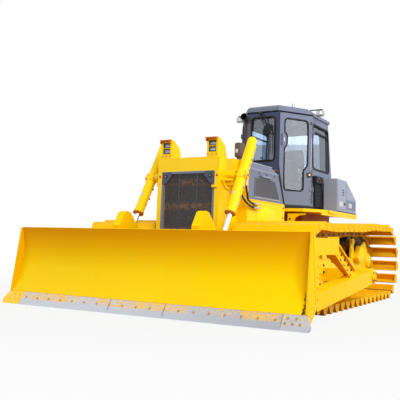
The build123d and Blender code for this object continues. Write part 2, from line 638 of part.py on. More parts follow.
def rear_case():
    """Transmission and axle case with the drawbar's clevis and the four holes for rear equipment."""
    case = block(about(0, CASE_HALF), (CASE_FRONT, REAR_FACE), (RAIL_FOOT, PLATFORM_Z[0]))
    for x in (-HOLE_SPAN_X / 2, HOLE_SPAN_X / 2):
        for z in (HOLE_Z - HOLE_SPAN_Z / 2, HOLE_Z + HOLE_SPAN_Z / 2):
            case -= Pos(x, REAR_FACE, z) * Rot(90, 0, 0) * Cylinder(HOLE_R, 2 * HOLE_DEPTH)
    return case


def drawbar():
    """Clevis with a vertical pin bore through both ears."""
    end = REAR_FACE + DRAWBAR_REACH
    ears = block(about(0, 90), (REAR_FACE, end), about(DRAWBAR_Z, 75))
    ears -= block(about(0, 200), (REAR_FACE + 150, end + 10), about(DRAWBAR_Z, 38))
    ears += block(about(0, 160), (REAR_FACE, REAR_FACE + 40), (RAIL_FOOT, DRAWBAR_Z + 120))
    return ears - Pos(0, end - DRAWBAR_PIN_IN, DRAWBAR_Z) * Cylinder(DRAWBAR_PIN_R, 400)


def equalizer_bar():
    """Cross beam under the frame that joins the track frames at the front, and the pivot shaft behind it."""
    reach = TRACK_X - FRAME_HALF
    bar = block(about(0, reach), about(BEAM_Y, 90), (RAIL_FOOT - 130, RAIL_FOOT))
    shaft = block(about(0, reach), about(SHAFT_Y, 80), (RAIL_FOOT - 130, RAIL_FOOT))
    return Compound([bar.solid(), shaft.solid()])


def radiator_guard():
    """Welded front guard, open behind and below, with the grille's window."""
    x, y = about(0, GUARD_HALF), (GUARD_FRONT, GUARD_FRONT + GUARD_DEPTH)
    guard = block(x, y, (RAIL_TOP, GUARD_TOP))
    inner = GUARD_HALF - GUARD_WALL
    guard -= block(about(0, inner), (y[0] + GUARD_WALL, y[1] + 10), (RAIL_TOP - 10, GUARD_TOP - GUARD_WALL))
    guard -= block(about(0, GRILLE_HALF), (y[0] - 10, y[0] + 100), (GRILLE_FOOT, GRILLE_TOP))
    chin = block(x, (y[0], FRAME_FRONT), (GUARD_FOOT, RAIL_TOP)) - block(
        about(0, GRILLE_HALF), (y[0] - 10, y[0] + 100), (GRILLE_FOOT, GRILLE_TOP))
    return guard + chin


def grille():
    """Framed lattice set in the guard's window."""
    half, z0, z1 = GRILLE_HALF, GRILLE_FOOT, GRILLE_TOP
    y = (GUARD_FRONT + 2, GUARD_FRONT + 16)
    panel = block(about(0, half), y, (z0, z1)) - block(about(0, half - GRILLE_RIM), about(y[0], 50),
                                                       (z0 + GRILLE_RIM, z1 - GRILLE_RIM))
    bars = []
    for index in range(1, round(2 * half / GRILLE_PITCH)):
        bars.append(block(about(index * GRILLE_PITCH - half, GRILLE_BAR / 2), y, (z0 + 5, z1 - 5)))
    for index in range(1, round((z1 - z0) / GRILLE_PITCH)):
        bars.append(block(about(0, half - 5), y, about(z0 + index * GRILLE_PITCH, GRILLE_BAR / 2)))
    return panel.fuse(*bars)


def radiator_core():
    """Radiator behind the grille."""
    return block(about(0, GUARD_HALF - GUARD_WALL), (GUARD_FRONT + 130, GUARD_FRONT + 220),
                 (RAIL_TOP, GUARD_TOP - 60))


def engine_block():
    """The engine's mass as a plain block on the belly plate."""
    return block(about(0, 300), (GUARD_FRONT + GUARD_DEPTH + 98, BOX_REAR - 50), (RAIL_FOOT + PLATE, 1500))


def hood():
    """Hood with its sides, open below."""
    y = (GUARD_FRONT + GUARD_DEPTH, BOX_REAR)
    cover = block(about(0, GUARD_HALF), y, (RAIL_TOP, HOOD_TOP)) + block(
        about(0, COWL_HALF), (BOX_REAR, HOOD_REAR), (RAIL_TOP, HOOD_TOP))
    for half, rear in ((GUARD_HALF - SHEET, BOX_REAR - SHEET), (COWL_HALF - SHEET, HOOD_REAR + 10)):
        cover -= block(about(0, half), (y[0] - 10, rear), (RAIL_TOP - 10, HOOD_TOP - SHEET))
    return cover


def side_section(foot):
    """Outline of the side covers across the machine, from a foot height to the hood's edge."""
    return [(GUARD_HALF, foot), (SIDE_OUT, foot), (SIDE_OUT, HOOD_TOP - 106), (SIDE_OUT - 96, HOOD_TOP + 4),
            (GUARD_HALF, HOOD_TOP + 4)]


def side_bodies():
    """Yellow lower boxes either side of the hood, their upright front plates, and the hoses' unions."""
    box = block((GUARD_HALF, SIDE_OUT), (BOX_FRONT, BOX_REAR), (SIDE_FOOT, SIDE_SEAM))
    plate = run_y(side_section(SIDE_FOOT), (BOX_FRONT - 12, BOX_FRONT))
    clamp = block((SIDE_OUT, UNION_X + 16), (UNION_Y + 30, UNION_Y + 78), (UNION_Z[1] - 22, UNION_Z[0] + 22))
    unions = [Pos(UNION_X, UNION_Y + 50, z) * Rot(90, 0, 0) * Cylinder(FITTING_R, 100) for z in UNION_Z]
    return both_sides(box.fuse(plate, clamp, *unions))


def front_side_boxes():
    """Grey vented boxes on the lower ones, with a grab handle."""
    y, top = (BOX_FRONT, BOX_REAR), HOOD_TOP + 4
    profile = [(y[0], SIDE_SEAM), (y[0], top), (y[1] - 250, top), (y[1], SIDE_SEAM)]
    box = run_y(side_section(SIDE_SEAM), y) & run_x(profile, (GUARD_HALF, SIDE_OUT))
    box -= block((GUARD_HALF + 15, SIDE_OUT - 15), (y[0] + 15, y[1] - 275), (SIDE_SEAM + 15, HOOD_TOP - 125))
    out, bar = SIDE_OUT, about(1720, 9)
    handle = block((out - 1, out + 45), about(FRONT + 1750, 9), bar)
    handle += block((out - 1, out + 45), about(FRONT + 2050, 9), bar)
    handle += block((out + 27, out + 45), (FRONT + 1741, FRONT + 2059), bar)
    return both_sides(box + handle)


def headlamps():
    """Lamp boxes on the guard's top, each with a visor."""
    x, y, z = (270, 430), GUARD_FRONT, GUARD_TOP
    box = run_x([(y, z), (y, z + 244), (y + 60, z + 236), (y + 180, z + 150), (y + 225, z)], x)
    box -= block((x[0] + 24, x[1] - 24), (y - 10, y + 60), (z + 60, z + 205))
    visor = run_x([(y - 45, z + 228), (y - 45, z + 240), (y + 10, z + 244), (y + 10, z + 232)], x)
    return both_sides(box + visor)


def headlamp_lenses():
    """Two stacked lenses in each lamp box."""
    x, y, z = (294, 406), GUARD_FRONT, GUARD_TOP
    lenses = [block(x, (y + 20, y + 60), (z + low, z + low + 66)).solid() for low in (62, 136)]
    return both_sides(Compound(lenses))


def exhaust_pipe():
    """Stack with an open tip turned to the front."""
    knee = 2736
    reach = STACK_BEND * math.tan(math.radians(STACK_TURN / 2)) + 55
    tip = (STACK_X, STACK_Y - reach * math.sin(math.radians(STACK_TURN)),
           knee + reach * math.cos(math.radians(STACK_TURN)))
    path = FilletPolyline((STACK_X, STACK_Y, HOOD_TOP), (STACK_X, STACK_Y, knee), tip, radius=STACK_BEND)
    foot = Plane(origin=(STACK_X, STACK_Y, HOOD_TOP), z_dir=(0, 0, 1))
    return sweep(foot * Circle(STACK_R), path=path) - sweep(foot * Circle(STACK_R - 5), path=path)


def precleaner():
    """Air intake: stem and bowl."""
    x, y = 25, HOOD_REAR - 762
    bowl_foot = HOOD_TOP + 160
    stem = Pos(x, y, (HOOD_TOP + bowl_foot) / 2) * Cylinder(42, bowl_foot - HOOD_TOP)
    return stem + Pos(x, y, bowl_foot + 107) * Cylinder(75, 214)


# ---------------------------------------------------------------- cab

def wall_plane(start, end, lean):
    """Outer plane of a wall over a foot line on the plan; lean tips its top inwards."""
    along = Vector(end[0] - start[0], end[1] - start[1], 0).normalized()
    tilt = math.radians(lean)
    normal = Vector(along.Y * math.cos(tilt), -along.X * math.cos(tilt), math.sin(tilt))
    return Plane(origin=(start[0], start[1], CAB_FOOT), x_dir=tuple(along), z_dir=tuple(normal))


def mirrored(point):
    """The same plan point on the right-hand side."""
    return (-point[0], point[1])


CAB_PLAN = [CAB_FRONT_CORNER, CAB_MID_CORNER, CAB_REAR_CORNER, mirrored(CAB_REAR_CORNER),
            mirrored(CAB_MID_CORNER),
            mirrored(CAB_FRONT_CORNER)]
CAB_LEANS = [0, SIDE_LEAN, REAR_LEAN, SIDE_LEAN, 0, 0]
CAB_SIDES = zip(CAB_PLAN, CAB_PLAN[1:] + CAB_PLAN[:1], CAB_LEANS)
WALLS = [wall_plane(start, end, lean) for start, end, lean in CAB_SIDES]
DOOR_WALL, SIDE_WALL, REAR_WALL, FRONT_WALL = WALLS[0], WALLS[1], WALLS[2], WALLS[5]
DOOR_LENGTH = math.dist(CAB_FRONT_CORNER, CAB_MID_CORNER)
HINGE_S = DOOR_LENGTH - DOOR_EDGE + HINGE_BEYOND
SIDE_LENGTH = math.dist(CAB_MID_CORNER, CAB_REAR_CORNER)
REAR_LENGTH = 2 * CAB_REAR_CORNER[0]
FRONT_LENGTH = 2 * CAB_FRONT_CORNER[0]


def cab_room(inset, z):
    """Space inside the cab's walls, each moved inwards by inset, between two heights."""
    room = block(about(0, HUGE / 4), (HOOD_REAR - 500, REAR_FACE + 500), z)
    for wall in WALLS:
        room -= wall.offset(-inset) * Pos(0, 0, HUGE / 2) * Box(HUGE, HUGE, HUGE)
    return room


def on_wall(wall, outline, depth):
    """Plate on a wall: outline of (distance along the foot, height over it), limits outwards from it."""
    face = wall.offset(depth[0]) * make_face(Polyline(*outline, close=True))
    return extrude(face, amount=depth[1] - depth[0], dir=tuple(wall.z_dir))


def window_outline(left, right, low, high, cut, grow=0):
    """Window with cut corners; grow enlarges it all round."""
    a, b, c, d = left - grow, right + grow, low - grow - CAB_FOOT, high + grow - CAB_FOOT
    return [(a, c + cut), (a, d - cut), (a + cut, d), (b - cut, d), (b, d - cut), (b, c + cut), (b - cut, c),
            (a + cut, c)]


FRONT_WINDOW = (FRONT_LENGTH / 2 - 215, FRONT_LENGTH / 2 + 215, CAB_TOP - 800, CAB_TOP - 90, 40)
SIDE_WINDOW = (80, SIDE_LENGTH - 206, CAB_TOP - 870, CAB_TOP - 120, 40)
REAR_WINDOW = (REAR_LENGTH / 2 - 430, REAR_LENGTH / 2 + 430, CAB_TOP - 970, CAB_TOP - 130, 40)
WINDOWS = [(FRONT_WALL, FRONT_WINDOW), (SIDE_WALL, SIDE_WINDOW), (REAR_WALL, REAR_WINDOW)]


def door_outline(grow):
    """Door's outline on its wall; its lower front corner is cut back."""
    left, right = DOOR_EDGE - grow, DOOR_LENGTH - DOOR_EDGE + grow
    low, high = DOOR_FOOT - grow - CAB_FOOT, DOOR_TOP + grow - CAB_FOOT
    return [(left, low + 610), (left, high), (right, high), (right, low), (left + 75, low),
            (left + 75, low + 200)]


def cab_shell():
    """Floor, walls and posts with the window and door openings."""
    shell = cab_room(0, (CAB_FOOT, CAB_TOP)) - cab_room(CAB_WALL, (CAB_FOOT + 40, CAB_TOP + 10))
    cuts = []
    for wall, window in WINDOWS:
        cuts.append(on_wall(wall, window_outline(*window), (-CAB_WALL - 20, 20)))
    cuts.append(on_wall(DOOR_WALL, door_outline(-32), (-CAB_WALL - 20, 20)))
    for cut in cuts:
        shell -= cut
        if cut is not cuts[0] and cut is not cuts[2]:
            shell -= mirror(cut, about=Plane.YZ)
    brackets = hinge_brackets()
    return shell.fuse(*brackets, *[mirror(bracket, about=Plane.YZ) for bracket in brackets])


def hinge_brackets():
    """Brackets on the left door post, each with a pin through one of the door's knuckles."""
    beyond = 10
    brackets = []
    for height in HINGE_HEIGHTS:
        middle = height - CAB_FOOT
        ends = []
        for low in (middle - KNUCKLE / 2 - beyond, middle + KNUCKLE / 2 + SEAT_GAP):
            outline = [(HINGE_S - 2, low), (HINGE_S + 9, low), (HINGE_S + 9, low + beyond - SEAT_GAP),
                       (HINGE_S - 2, low + beyond - SEAT_GAP)]
            ends.append(on_wall(DOOR_WALL, outline, (-5, HINGE_OUT)))
            ends.append(hinge_line(low, low + beyond - SEAT_GAP, HINGE_PIN_R + 3))
        pin = hinge_line(middle - KNUCKLE / 2 - beyond, middle + KNUCKLE / 2 + beyond, HINGE_PIN_R)
        brackets.append(pin.fuse(*ends))
    return brackets


def hinge_line(low, high, radius):
    """Cylinder on the left door's hinge line, between two heights over the cab's foot."""
    place = DOOR_WALL * Pos(HINGE_S, (low + high) / 2, HINGE_OUT)
    return place * Rot(90, 0, 0) * Cylinder(radius, high - low)


def cab_glass():
    """Windscreen, rear window and the two side windows."""
    depth = (-30, -30 + PANE)
    panes = [on_wall(wall, window_outline(*window, grow=-SEAT_GAP), depth) for wall, window in WINDOWS]
    solids = [panes[0].solid(), panes[2].solid(), panes[1].solid(), mirror(panes[1], about=Plane.YZ).solid()]
    return Compound(solids)


def cab_roof():
    """Roof cap that overhangs the walls."""
    roof = cab_room(-24, (CAB_TOP, ROOF_TOP))
    return chamfer(roof.faces().sort_by(Axis.Z)[-1].edges(), 38)


def door_window():
    """Outline of the door's window, with the notch for the handle in its front edge."""
    front, rear = 96, DOOR_LENGTH - 100
    low, high = DOOR_FOOT + 220 - CAB_FOOT, DOOR_TOP - 80 - CAB_FOOT
    return [(front + 22, low), (front, low + 60), (front, high - 480), (front + 48, high - 430),
            (front + 48, high - 280), (front, high - 230), (front, high - 40), (front + 43, high),
            (rear - 43, high), (rear, high - 40), (rear, high - 730), (rear - 75, high - 820),
            (rear - 75, low + 40), (rear - 107, low)]


def door():
    """Left door leaf with its handle, latch and hinge knuckles."""
    leaf = on_wall(DOOR_WALL, door_outline(0), (DOOR_GAP, DOOR_GAP + DOOR_SKIN))
    leaf -= on_wall(DOOR_WALL, door_window(), (0, 60))
    skin = DOOR_GAP + DOOR_SKIN
    handle = on_wall(DOOR_WALL, [(48, 1000), (75, 1000), (75, 1180), (48, 1180)], (skin - 1, skin + 28))
    latch = DOOR_WALL * Pos(DOOR_LENGTH - 80, 560, skin + 8) * Cylinder(32, 18)
    leaf = leaf + handle + latch
    for height in HINGE_HEIGHTS:
        low, high = height - CAB_FOOT - KNUCKLE / 2, height - CAB_FOOT + KNUCKLE / 2
        leaf += hinge_line(low, high, HINGE_PIN_R + 7)
        leaf += on_wall(DOOR_WALL,
                        [(HINGE_S - 60, low), (HINGE_S, low), (HINGE_S, high), (HINGE_S - 60, high)],
                        (skin - 1, HINGE_OUT - 4))
        leaf -= hinge_line(low - 5, high + 5, HINGE_PIN_R + SEAT_GAP)
    return leaf


def door_glass():
    """Pane of the left door."""
    face = DOOR_WALL.offset(DOOR_GAP + 6) * make_face(Polyline(*door_window(), close=True))
    return extrude(offset(face, -SEAT_GAP, kind=Kind.INTERSECTION), amount=PANE, dir=tuple(DOOR_WALL.z_dir))


def seat():
    """Operator's seat on its base."""
    y, cushion_foot = SEAT_Y, CAB_FOOT + 408
    base = block(about(0, 190), (y + 40, y + 440), (CAB_FOOT + 40, cushion_foot))
    cushion = block(about(0, 250), (y, y + 500), (cushion_foot, cushion_foot + 120))
    back = block(about(0, 230), (y + 430, y + 540), (cushion_foot + 120, cushion_foot + 700))
    return base + cushion + back


def console():
    """Instrument stand with two levers."""
    y, top = HOOD_REAR + 73, CAB_FOOT + 668
    stand = block(about(0, 190), (y, y + 170), (CAB_FOOT + 40, top))
    for x in (-110, 110):
        stand += Pos(x, y + 110, top + 70) * Cylinder(10, 160)
        stand += Pos(x, y + 110, top + 160) * Sphere(24)
    return stand


def platform():
    """Deck under the cab, with a deeper lip along the fenders' edges."""
    edge, bend = FENDER_EDGE, HOOD_REAR + 938
    half = [(GUARD_HALF, HOOD_REAR), (700, HOOD_REAR + 58), (edge - 40, HOOD_REAR + 338), (edge, bend),
            (edge, REAR_FACE)]
    deck = run_z(half + [(-x, y) for x, y in reversed(half)], PLATFORM_Z)
    lip = [(edge - 40, HOOD_REAR + 338), (edge, bend), (edge, REAR_FACE), (edge - 24, REAR_FACE),
           (edge - 24, bend + 2), (edge - 62, HOOD_REAR + 345)]
    left = run_z(lip, (FENDER_LIP, PLATFORM_Z[0] + 1))
    return deck.fuse(left, mirror(left, about=Plane.YZ))


def rear_side_boxes():
    """Slope-backed boxes beside and behind the cab."""
    y, z = (CAB_REAR - 630, REAR_FACE), (CAB_FOOT, TANK_TOP + 130)
    outline = [(y[0], z[0]), (y[0], z[1]), (REAR_FACE - 520, z[1]), (y[1], TANK_EDGE), (y[1], z[0])]
    return both_sides(run_x(outline, (TANK_HALF + 1, FENDER_EDGE - 10)))


def fuel_tank():
    """Tank across the back of the cab."""
    y0 = CAB_REAR + 2
    return run_x([(y0, CAB_FOOT), (y0, TANK_TOP), (REAR_FACE - 210, TANK_TOP), (REAR_FACE, TANK_EDGE),
                  (REAR_FACE, CAB_FOOT)], about(0, TANK_HALF))


def step_boxes():
    """Black boxes with a step panel beside the cab's rear sides."""
    front, rear = SIDE_LENGTH - 953, SIDE_LENGTH - 643
    box = on_wall(SIDE_WALL, [(front, 440), (front, 560), (rear, 560), (rear, 440)], (SEAT_GAP, 70))
    panel = on_wall(SIDE_WALL, [(front + 18, 60), (front + 18, 440), (rear, 440), (rear, 60)], (SEAT_GAP, 40))
    return both_sides(box + panel)


def work_lamps():
    """Lamps on arms at the roof's widest corners."""
    x, y, z = CAB_MID_CORNER[0] + 107, CAB_MID_CORNER[1] + 46, ROOF_TOP
    arm = block((x - 190, x + 40), about(y, 18), (z, z + 12))
    lamp = block(about(x, 64), about(y, 40), (z - 105, z))
    return both_sides(arm + lamp)


def roof_light():
    """Small lamp on the roof over the left door."""
    return Pos(340, CAB_FRONT_CORNER[1] + 385, ROOF_TOP + 50) * Cylinder(22, 100)


def left_and_right(name, build):
    """Two nodes from one left-hand piece."""
    piece = build()
    return {name + "_left": piece, name + "_right": mirror(piece, about=Plane.YZ)}


NODES = {
    "moldboard": moldboard(), "cutting_edge": cutting_edge(), "end_bits": end_bits(),
    "blade_side_plates": blade_side_plates(), "blade_back": blade_back(), "blade_horns": blade_horns(),
    **left_and_right("push_arm", push_arm), **left_and_right("push_brace", push_brace),
    **left_and_right("lift_barrel", lift_barrel), **left_and_right("lift_rod", lift_rod),
    "lift_yokes": lift_yokes(),
    **left_and_right("track", track), **left_and_right("track_frame", track_frame),
    "sprockets": both_sides(sprocket()), "final_drives": final_drives(), "idlers": both_sides(idler()),
    "track_rollers": track_rollers(), "carrier_rollers": carrier_rollers(),
    "main_frame": main_frame(), "rear_case": rear_case(), "drawbar": drawbar(),
    "equalizer_bar": equalizer_bar(),
    "radiator_guard": radiator_guard(), "grille": grille(), "radiator_core": radiator_core(),
    "engine_block": engine_block(), "hood": hood(), "side_bodies": side_bodies(),
    "front_side_boxes": front_side_boxes(), "headlamps": headlamps(), "headlamp_lenses": headlamp_lenses(),
    "exhaust_pipe": exhaust_pipe(), "precleaner": precleaner(),
    "cab_shell": cab_shell(), "cab_roof": cab_roof(), "cab_glass": cab_glass(),
    **left_and_right("door", door), **left_and_right("door_glass", door_glass),
    **left_and_right("hose_upper", lambda: hose(0)), **left_and_right("hose_lower", lambda: hose(1)),
    "roof_light": roof_light(),
    "seat": seat(), "console": console(), "platform": platform(), "rear_side_boxes": rear_side_boxes(),
    "fuel_tank": fuel_tank(), "step_boxes": step_boxes(), "work_lamps": work_lamps(),
}

os.makedirs("parts", exist_ok=True)
for name, shape in NODES.items():
    export_step(shape, f"parts/{name}.step")
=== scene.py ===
"""Dresses the crawler dozer: its finishes and the small pieces that its frame leaves out."""
import logging
import math
from dataclasses import dataclass
from enum import Enum
from typing import Callable, Iterable, Sequence

import bmesh
import bpy
from mathutils import Matrix, Vector


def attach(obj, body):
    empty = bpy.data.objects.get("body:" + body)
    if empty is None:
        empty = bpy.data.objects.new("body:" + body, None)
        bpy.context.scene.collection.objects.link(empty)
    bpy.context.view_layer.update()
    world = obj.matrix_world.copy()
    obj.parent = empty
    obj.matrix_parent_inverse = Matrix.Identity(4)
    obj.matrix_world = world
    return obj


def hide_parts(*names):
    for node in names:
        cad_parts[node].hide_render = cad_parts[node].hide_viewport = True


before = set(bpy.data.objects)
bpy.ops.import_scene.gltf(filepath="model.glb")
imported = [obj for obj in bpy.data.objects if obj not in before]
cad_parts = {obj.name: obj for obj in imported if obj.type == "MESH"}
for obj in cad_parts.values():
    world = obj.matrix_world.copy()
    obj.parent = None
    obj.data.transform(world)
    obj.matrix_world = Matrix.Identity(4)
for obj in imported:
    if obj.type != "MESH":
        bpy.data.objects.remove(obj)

Point = tuple[float, float, float]
Flat = tuple[float, float]
Colour = tuple[int, int, int]
Places = Matrix | Iterable[Matrix]

log = logging.getLogger("dozer")

EDGE_Y = -2.63
"""Station of the cutting edge; the machine's other stations are written as metres behind it."""


class Body(Enum):
    """Bodies of the frame that a piece can ride on."""

    CHASSIS = "chassis"
    BLADE = "blade_assembly"
    CYLINDER_LEFT = "lift_cylinder_left"
    CYLINDER_RIGHT = "lift_cylinder_right"
    ROD_LEFT = "lift_piston_left"
    ROD_RIGHT = "lift_piston_right"
    DOOR_LEFT = "cab_door_left"
    DOOR_RIGHT = "cab_door_right"


class Side(Enum):
    """Which side of the machine; the value is the sign of X."""

    LEFT = 1
    RIGHT = -1

    @property
    def word(self) -> str:
        """Name of the side as it ends a piece's name."""
        return self.name.lower()


def station(behind: float) -> float:
    """Y of a point some metres behind the cutting edge."""
    return EDGE_Y + behind


# ------------------------------------------------------------------ shader arithmetic


def operator(kind: str) -> Callable[..., "Value"]:
    """Method of Value that adds a Math node.

    Args:
        kind: the Math node's operation.

    Returns:
        The method.
    """
    def applied(value: "Value", *others: "Value | float") -> "Value":
        """The node's result."""
        return value.math(kind, *others)

    return applied


class Value:
    """A number or colour on its way through a shader, written as plain arithmetic."""

    def __init__(self, graph: "Graph", socket: bpy.types.NodeSocket) -> None:
        """Wraps an output socket of a graph."""
        self.graph = graph
        self.socket = socket

    def math(self, operation: str, *others: "Value | float", clamp: bool = False) -> "Value":
        """One Math node on this value and up to two others.

        Args:
            operation: the Math node's operation.
            others: the node's second and third operands.
            clamp: whether the result is held between 0 and 1.

        Returns:
            The node's result.
        """
        settings = {"operation": operation, "use_clamp": clamp}
        return self.graph.node("ShaderNodeMath", settings, dict(enumerate((self, *others))))

    def __rsub__(self, other: float) -> "Value":
        """Difference from a number."""
        return self.math("MULTIPLY", -1.0) + other

    __add__ = __radd__ = operator("ADD")
    __sub__ = operator("SUBTRACT")
    __mul__ = __rmul__ = operator("MULTIPLY")
    __truediv__ = operator("DIVIDE")
    __pow__ = operator("POWER")
    __gt__ = operator("GREATER_THAN")
    __lt__ = operator("LESS_THAN")
    __abs__ = operator("ABSOLUTE")

    def held(self) -> "Value":
        """The value held between 0 and 1."""
        return self.math("ADD", 0.0, clamp=True)

    def ramp(self, low: float, high: float) -> "Value":
        """0 below low, 1 above high, straight between them."""
        return ((self - low) * (1.0 / (high - low))).held()

    def ripple(self, pitch: float) -> "Value":
        """Distance from the nearest multiple of pitch, as a share of half a pitch."""
        return abs((self / pitch).math("FRACT") - 0.5) * 2.0


class Graph:
    """Node tree of one material or of the world."""

    def __init__(self, owner: bpy.types.Material | bpy.types.World, shader: str, output: str) -> None:
        """Starts the tree with one shader on its output.

        Args:
            owner: the material or the world.
            shader: Blender's type name of the shader node.
            output: Blender's type name of the output node.
        """
        owner.use_nodes = True
        self.owner = owner
        self.tree = owner.node_tree
        self.tree.nodes.clear()
        self.output = self.tree.nodes.new(output)
        self.shader = self.tree.nodes.new(shader)
        self.tree.links.new(self.shader.outputs[0], self.output.inputs["Surface"])
        self._place: Value | None = None

    @classmethod
    def of_material(cls, name: str) -> "Graph":
        """A new material with a Principled shader."""
        return cls(bpy.data.materials.new(name), "ShaderNodeBsdfPrincipled", "ShaderNodeOutputMaterial")

    def put(self, socket: bpy.types.NodeSocket, value: "Value | float | Sequence[float]") -> None:
        """Links a value to a socket, or sets the socket where the value is plain.

        Args:
            socket: the input to feed.
            value: a Value, a number, or a colour or vector of plain numbers.
        """
        if isinstance(value, Value):
            self.tree.links.new(value.socket, socket)
        elif hasattr(socket, "default_value"):
            plain = value if isinstance(value, (int, float)) else tuple(value)
            if isinstance(plain, tuple) and len(plain) == 3 and len(socket.default_value) == 4:
                plain = (*plain, 1.0)
            socket.default_value = plain

    def node(self, kind: str, settings: dict | None = None, values: dict | None = None,
             output: int | str = 0) -> Value:
        """Adds a node.

        Args:
            kind: Blender's type name of the node.
            settings: properties set before anything is linked.
            values: plain values or Values for its inputs, by name or index.
            output: which output is returned.

        Returns:
            That output.
        """
        made = self.tree.nodes.new(kind)
        for key, setting in (settings or {}).items():
            setattr(made, key, setting)
        for key, value in (values or {}).items():
            self.put(made.inputs[key], value)
        return Value(self, made.outputs[output])

    @property
    def place(self) -> Value:
        """Object coordinates in metres.

        Returns:
            The coordinates, from one node that all share.
        """
        if self._place is None:
            self._place = self.node("ShaderNodeTexCoord", output="Object")
        return self._place

    def axis(self, letter: str) -> Value:
        """One coordinate of the place, "X", "Y" or "Z"."""
        return self.node("ShaderNodeSeparateXYZ", values={0: self.place}, output=letter)

    def upward(self) -> Value:
        """How far the surface faces up, from -1 to 1."""
        facing = self.node("ShaderNodeTexCoord", output="Normal")
        return self.node("ShaderNodeSeparateXYZ", values={0: facing}, output="Z")

    def stretched(self, scale: Point) -> Value:
        """The place with each axis scaled."""
        return self.node("ShaderNodeMapping", values={0: self.place, "Scale": scale})

    def noise(self, scale: float, detail: float = 2.0, roughness: float = 0.5,
              place: Value | None = None) -> Value:
        """Noise between about 0 and 1.

        Args:
            scale: grains per metre, roughly.
            detail: octaves.
            roughness: weight of the fine octaves.
            place: where it is read, the object's own place if not given.

        Returns:
            The noise.
        """
        values = {"Vector": place or self.place, "Scale": scale, "Detail": detail, "Roughness": roughness}
        return self.node("ShaderNodeTexNoise", values=values)

    def cells(self, scale: float) -> Value:
        """Distance to the nearest of many scattered points."""
        return self.node("ShaderNodeTexVoronoi", values={"Vector": self.place, "Scale": scale})

    def blend(self, share: "Value | float", first: "Value | Sequence[float]",
              second: "Value | Sequence[float]") -> Value:
        """Colour that goes from first to second as share goes from 0 to 1."""
        values = {0: share, 6: first, 7: second}
        return self.node("ShaderNodeMix", {"data_type": "RGBA"}, values, output=2)

    def toned(self, colour: "Value | Sequence[float]", factor: Value) -> Value:
        """Colour made lighter or darker by a factor near 1."""
        grey = self.node("ShaderNodeCombineXYZ", values={0: factor, 1: factor, 2: factor})
        return self.node("ShaderNodeVectorMath", {"operation": "MULTIPLY"}, {0: colour, 1: grey})

    def bump(self, height: Value, depth: float) -> None:
        """Feeds the shader's Normal from a height between 0 and 1, which stands for depth in metres."""
        self.set(Normal=self.node("ShaderNodeBump", values={"Height": height, "Distance": depth,
                                                            "Strength": 1.0}))

    def set(self, **values: "Value | float | Sequence[float]") -> None:
        """Sets the shader's inputs; an input's name is written with underscores for spaces."""
        for name, value in values.items():
            self.put(self.shader.inputs[name.replace("_", " ")], value)


def linear(colour: Colour) -> Point:
    """Linear-light value of a display colour given in steps of 255."""
    shares = [step / 255 for step in colour]
    return tuple(share / 12.92 if share <= 0.04045 else ((share + 0.055) / 1.055) ** 2.4 for share in shares)


# ------------------------------------------------------------------ finishes


@dataclass(frozen=True)
class Finish:
    """A finish of the machine; dress() writes its shader."""

    name: str
    colour: Colour
    roughness: float = 0.5
    slot: str = "yellow_paint"

    def dress(self, graph: Graph) -> None:
        """Writes a plain, slightly uneven surface.

        Args:
            graph: the material's node tree.
        """
        tone = graph.noise(7.0, 3.0) * 0.12 + 0.94
        graph.set(Base_Color=graph.toned(linear(self.colour), tone))
        graph.set(Roughness=(graph.noise(30.0) * 0.16 + (self.roughness - 0.08)).held())
        graph.bump(graph.noise(160.0), 0.0004)

    def material(self) -> bpy.types.Material:
        """The finish's material, made once.

        Returns:
            The material.
        """
        found = bpy.data.materials.get(self.name)
        if found is None:
            graph = Graph.of_material(self.name)
            self.dress(graph)
            found = graph.owner
        return found


@dataclass(frozen=True)
class Paint(Finish):
    """Sprayed machine paint.

    Dust lies where the surface faces up, soil near the ground, and small chips show what is under the paint;
    where a shade colour is given, painted shade darkens the faces that look down.
    """

    dust: float = 0.1
    soil: float = 0.0
    chips: float = 0.0
    under: Colour = (96, 84, 70)
    dust_colour: Colour = (205, 178, 120)
    soil_colour: Colour = (120, 92, 58)
    coat: float = 0.35
    # colour of the painted shade on faces that look down, and how strongly it is blended in
    shade_colour: Colour | None = None
    depth: float = 0.8
    sheen: float = 0.12

    def base(self, graph: Graph) -> Value | Sequence[float]:
        """The paint's own colour, blended towards the painted shade colour where the surface faces down.

        Args:
            graph: the material's node tree.

        Returns:
            The colour.
        """
        if self.shade_colour is None:
            return linear(self.colour)
        # painted shade: the colour goes towards the shade colour as the surface turns to face down
        down = ((0.2 - graph.upward()) * self.depth).held().math("MINIMUM", 0.72)
        return graph.blend(down, linear(self.colour), linear(self.shade_colour))

    def dress(self, graph: Graph) -> None:
        """Writes the paint with its dust, soil and chips.

        Args:
            graph: the material's node tree.
        """
        broad = graph.noise(1.3, 3.0, 0.55)
        cloudy = graph.noise(9.0, 4.0, 0.6)
        fine = graph.noise(70.0, 3.0, 0.6)
        colour = graph.toned(self.base(graph), broad * 0.05 + cloudy * 0.05 + 0.95)
        facing = graph.upward().ramp(0.35, 0.95)
        dust = (facing * (cloudy * 1.1 + fine * 0.5).ramp(0.55, 1.05) * self.dust).held()
        colour = graph.blend(dust, colour, linear(self.dust_colour))
        rough = dust * 0.35 + fine * 0.08 + (self.roughness - 0.04)
        if self.soil:
            low = 1.0 - graph.axis("Z").ramp(0.1, 1.3)
            soil = ((cloudy + fine * 0.6).ramp(0.78, 1.05) * (low * 0.6 + 0.4) * self.soil).held()
            colour = graph.blend(soil, colour, linear(self.soil_colour))
            rough = rough + soil * 0.4
        if self.chips:
            chip = (graph.noise(23.0, 5.0, 0.72) > 0.76 - 0.06 * self.chips) * (cloudy > 0.5)
            colour = graph.blend(chip, colour, linear(self.under))
            rough = rough + chip * 0.25
        graph.set(Base_Color=colour, Roughness=rough.held(), Specular_IOR_Level=self.sheen,
                  Coat_Weight=self.coat * 0.2, Coat_Roughness=0.12)
        graph.bump(graph.noise(240.0, 2.0) * 0.5 + cloudy * 0.5, 0.0005)


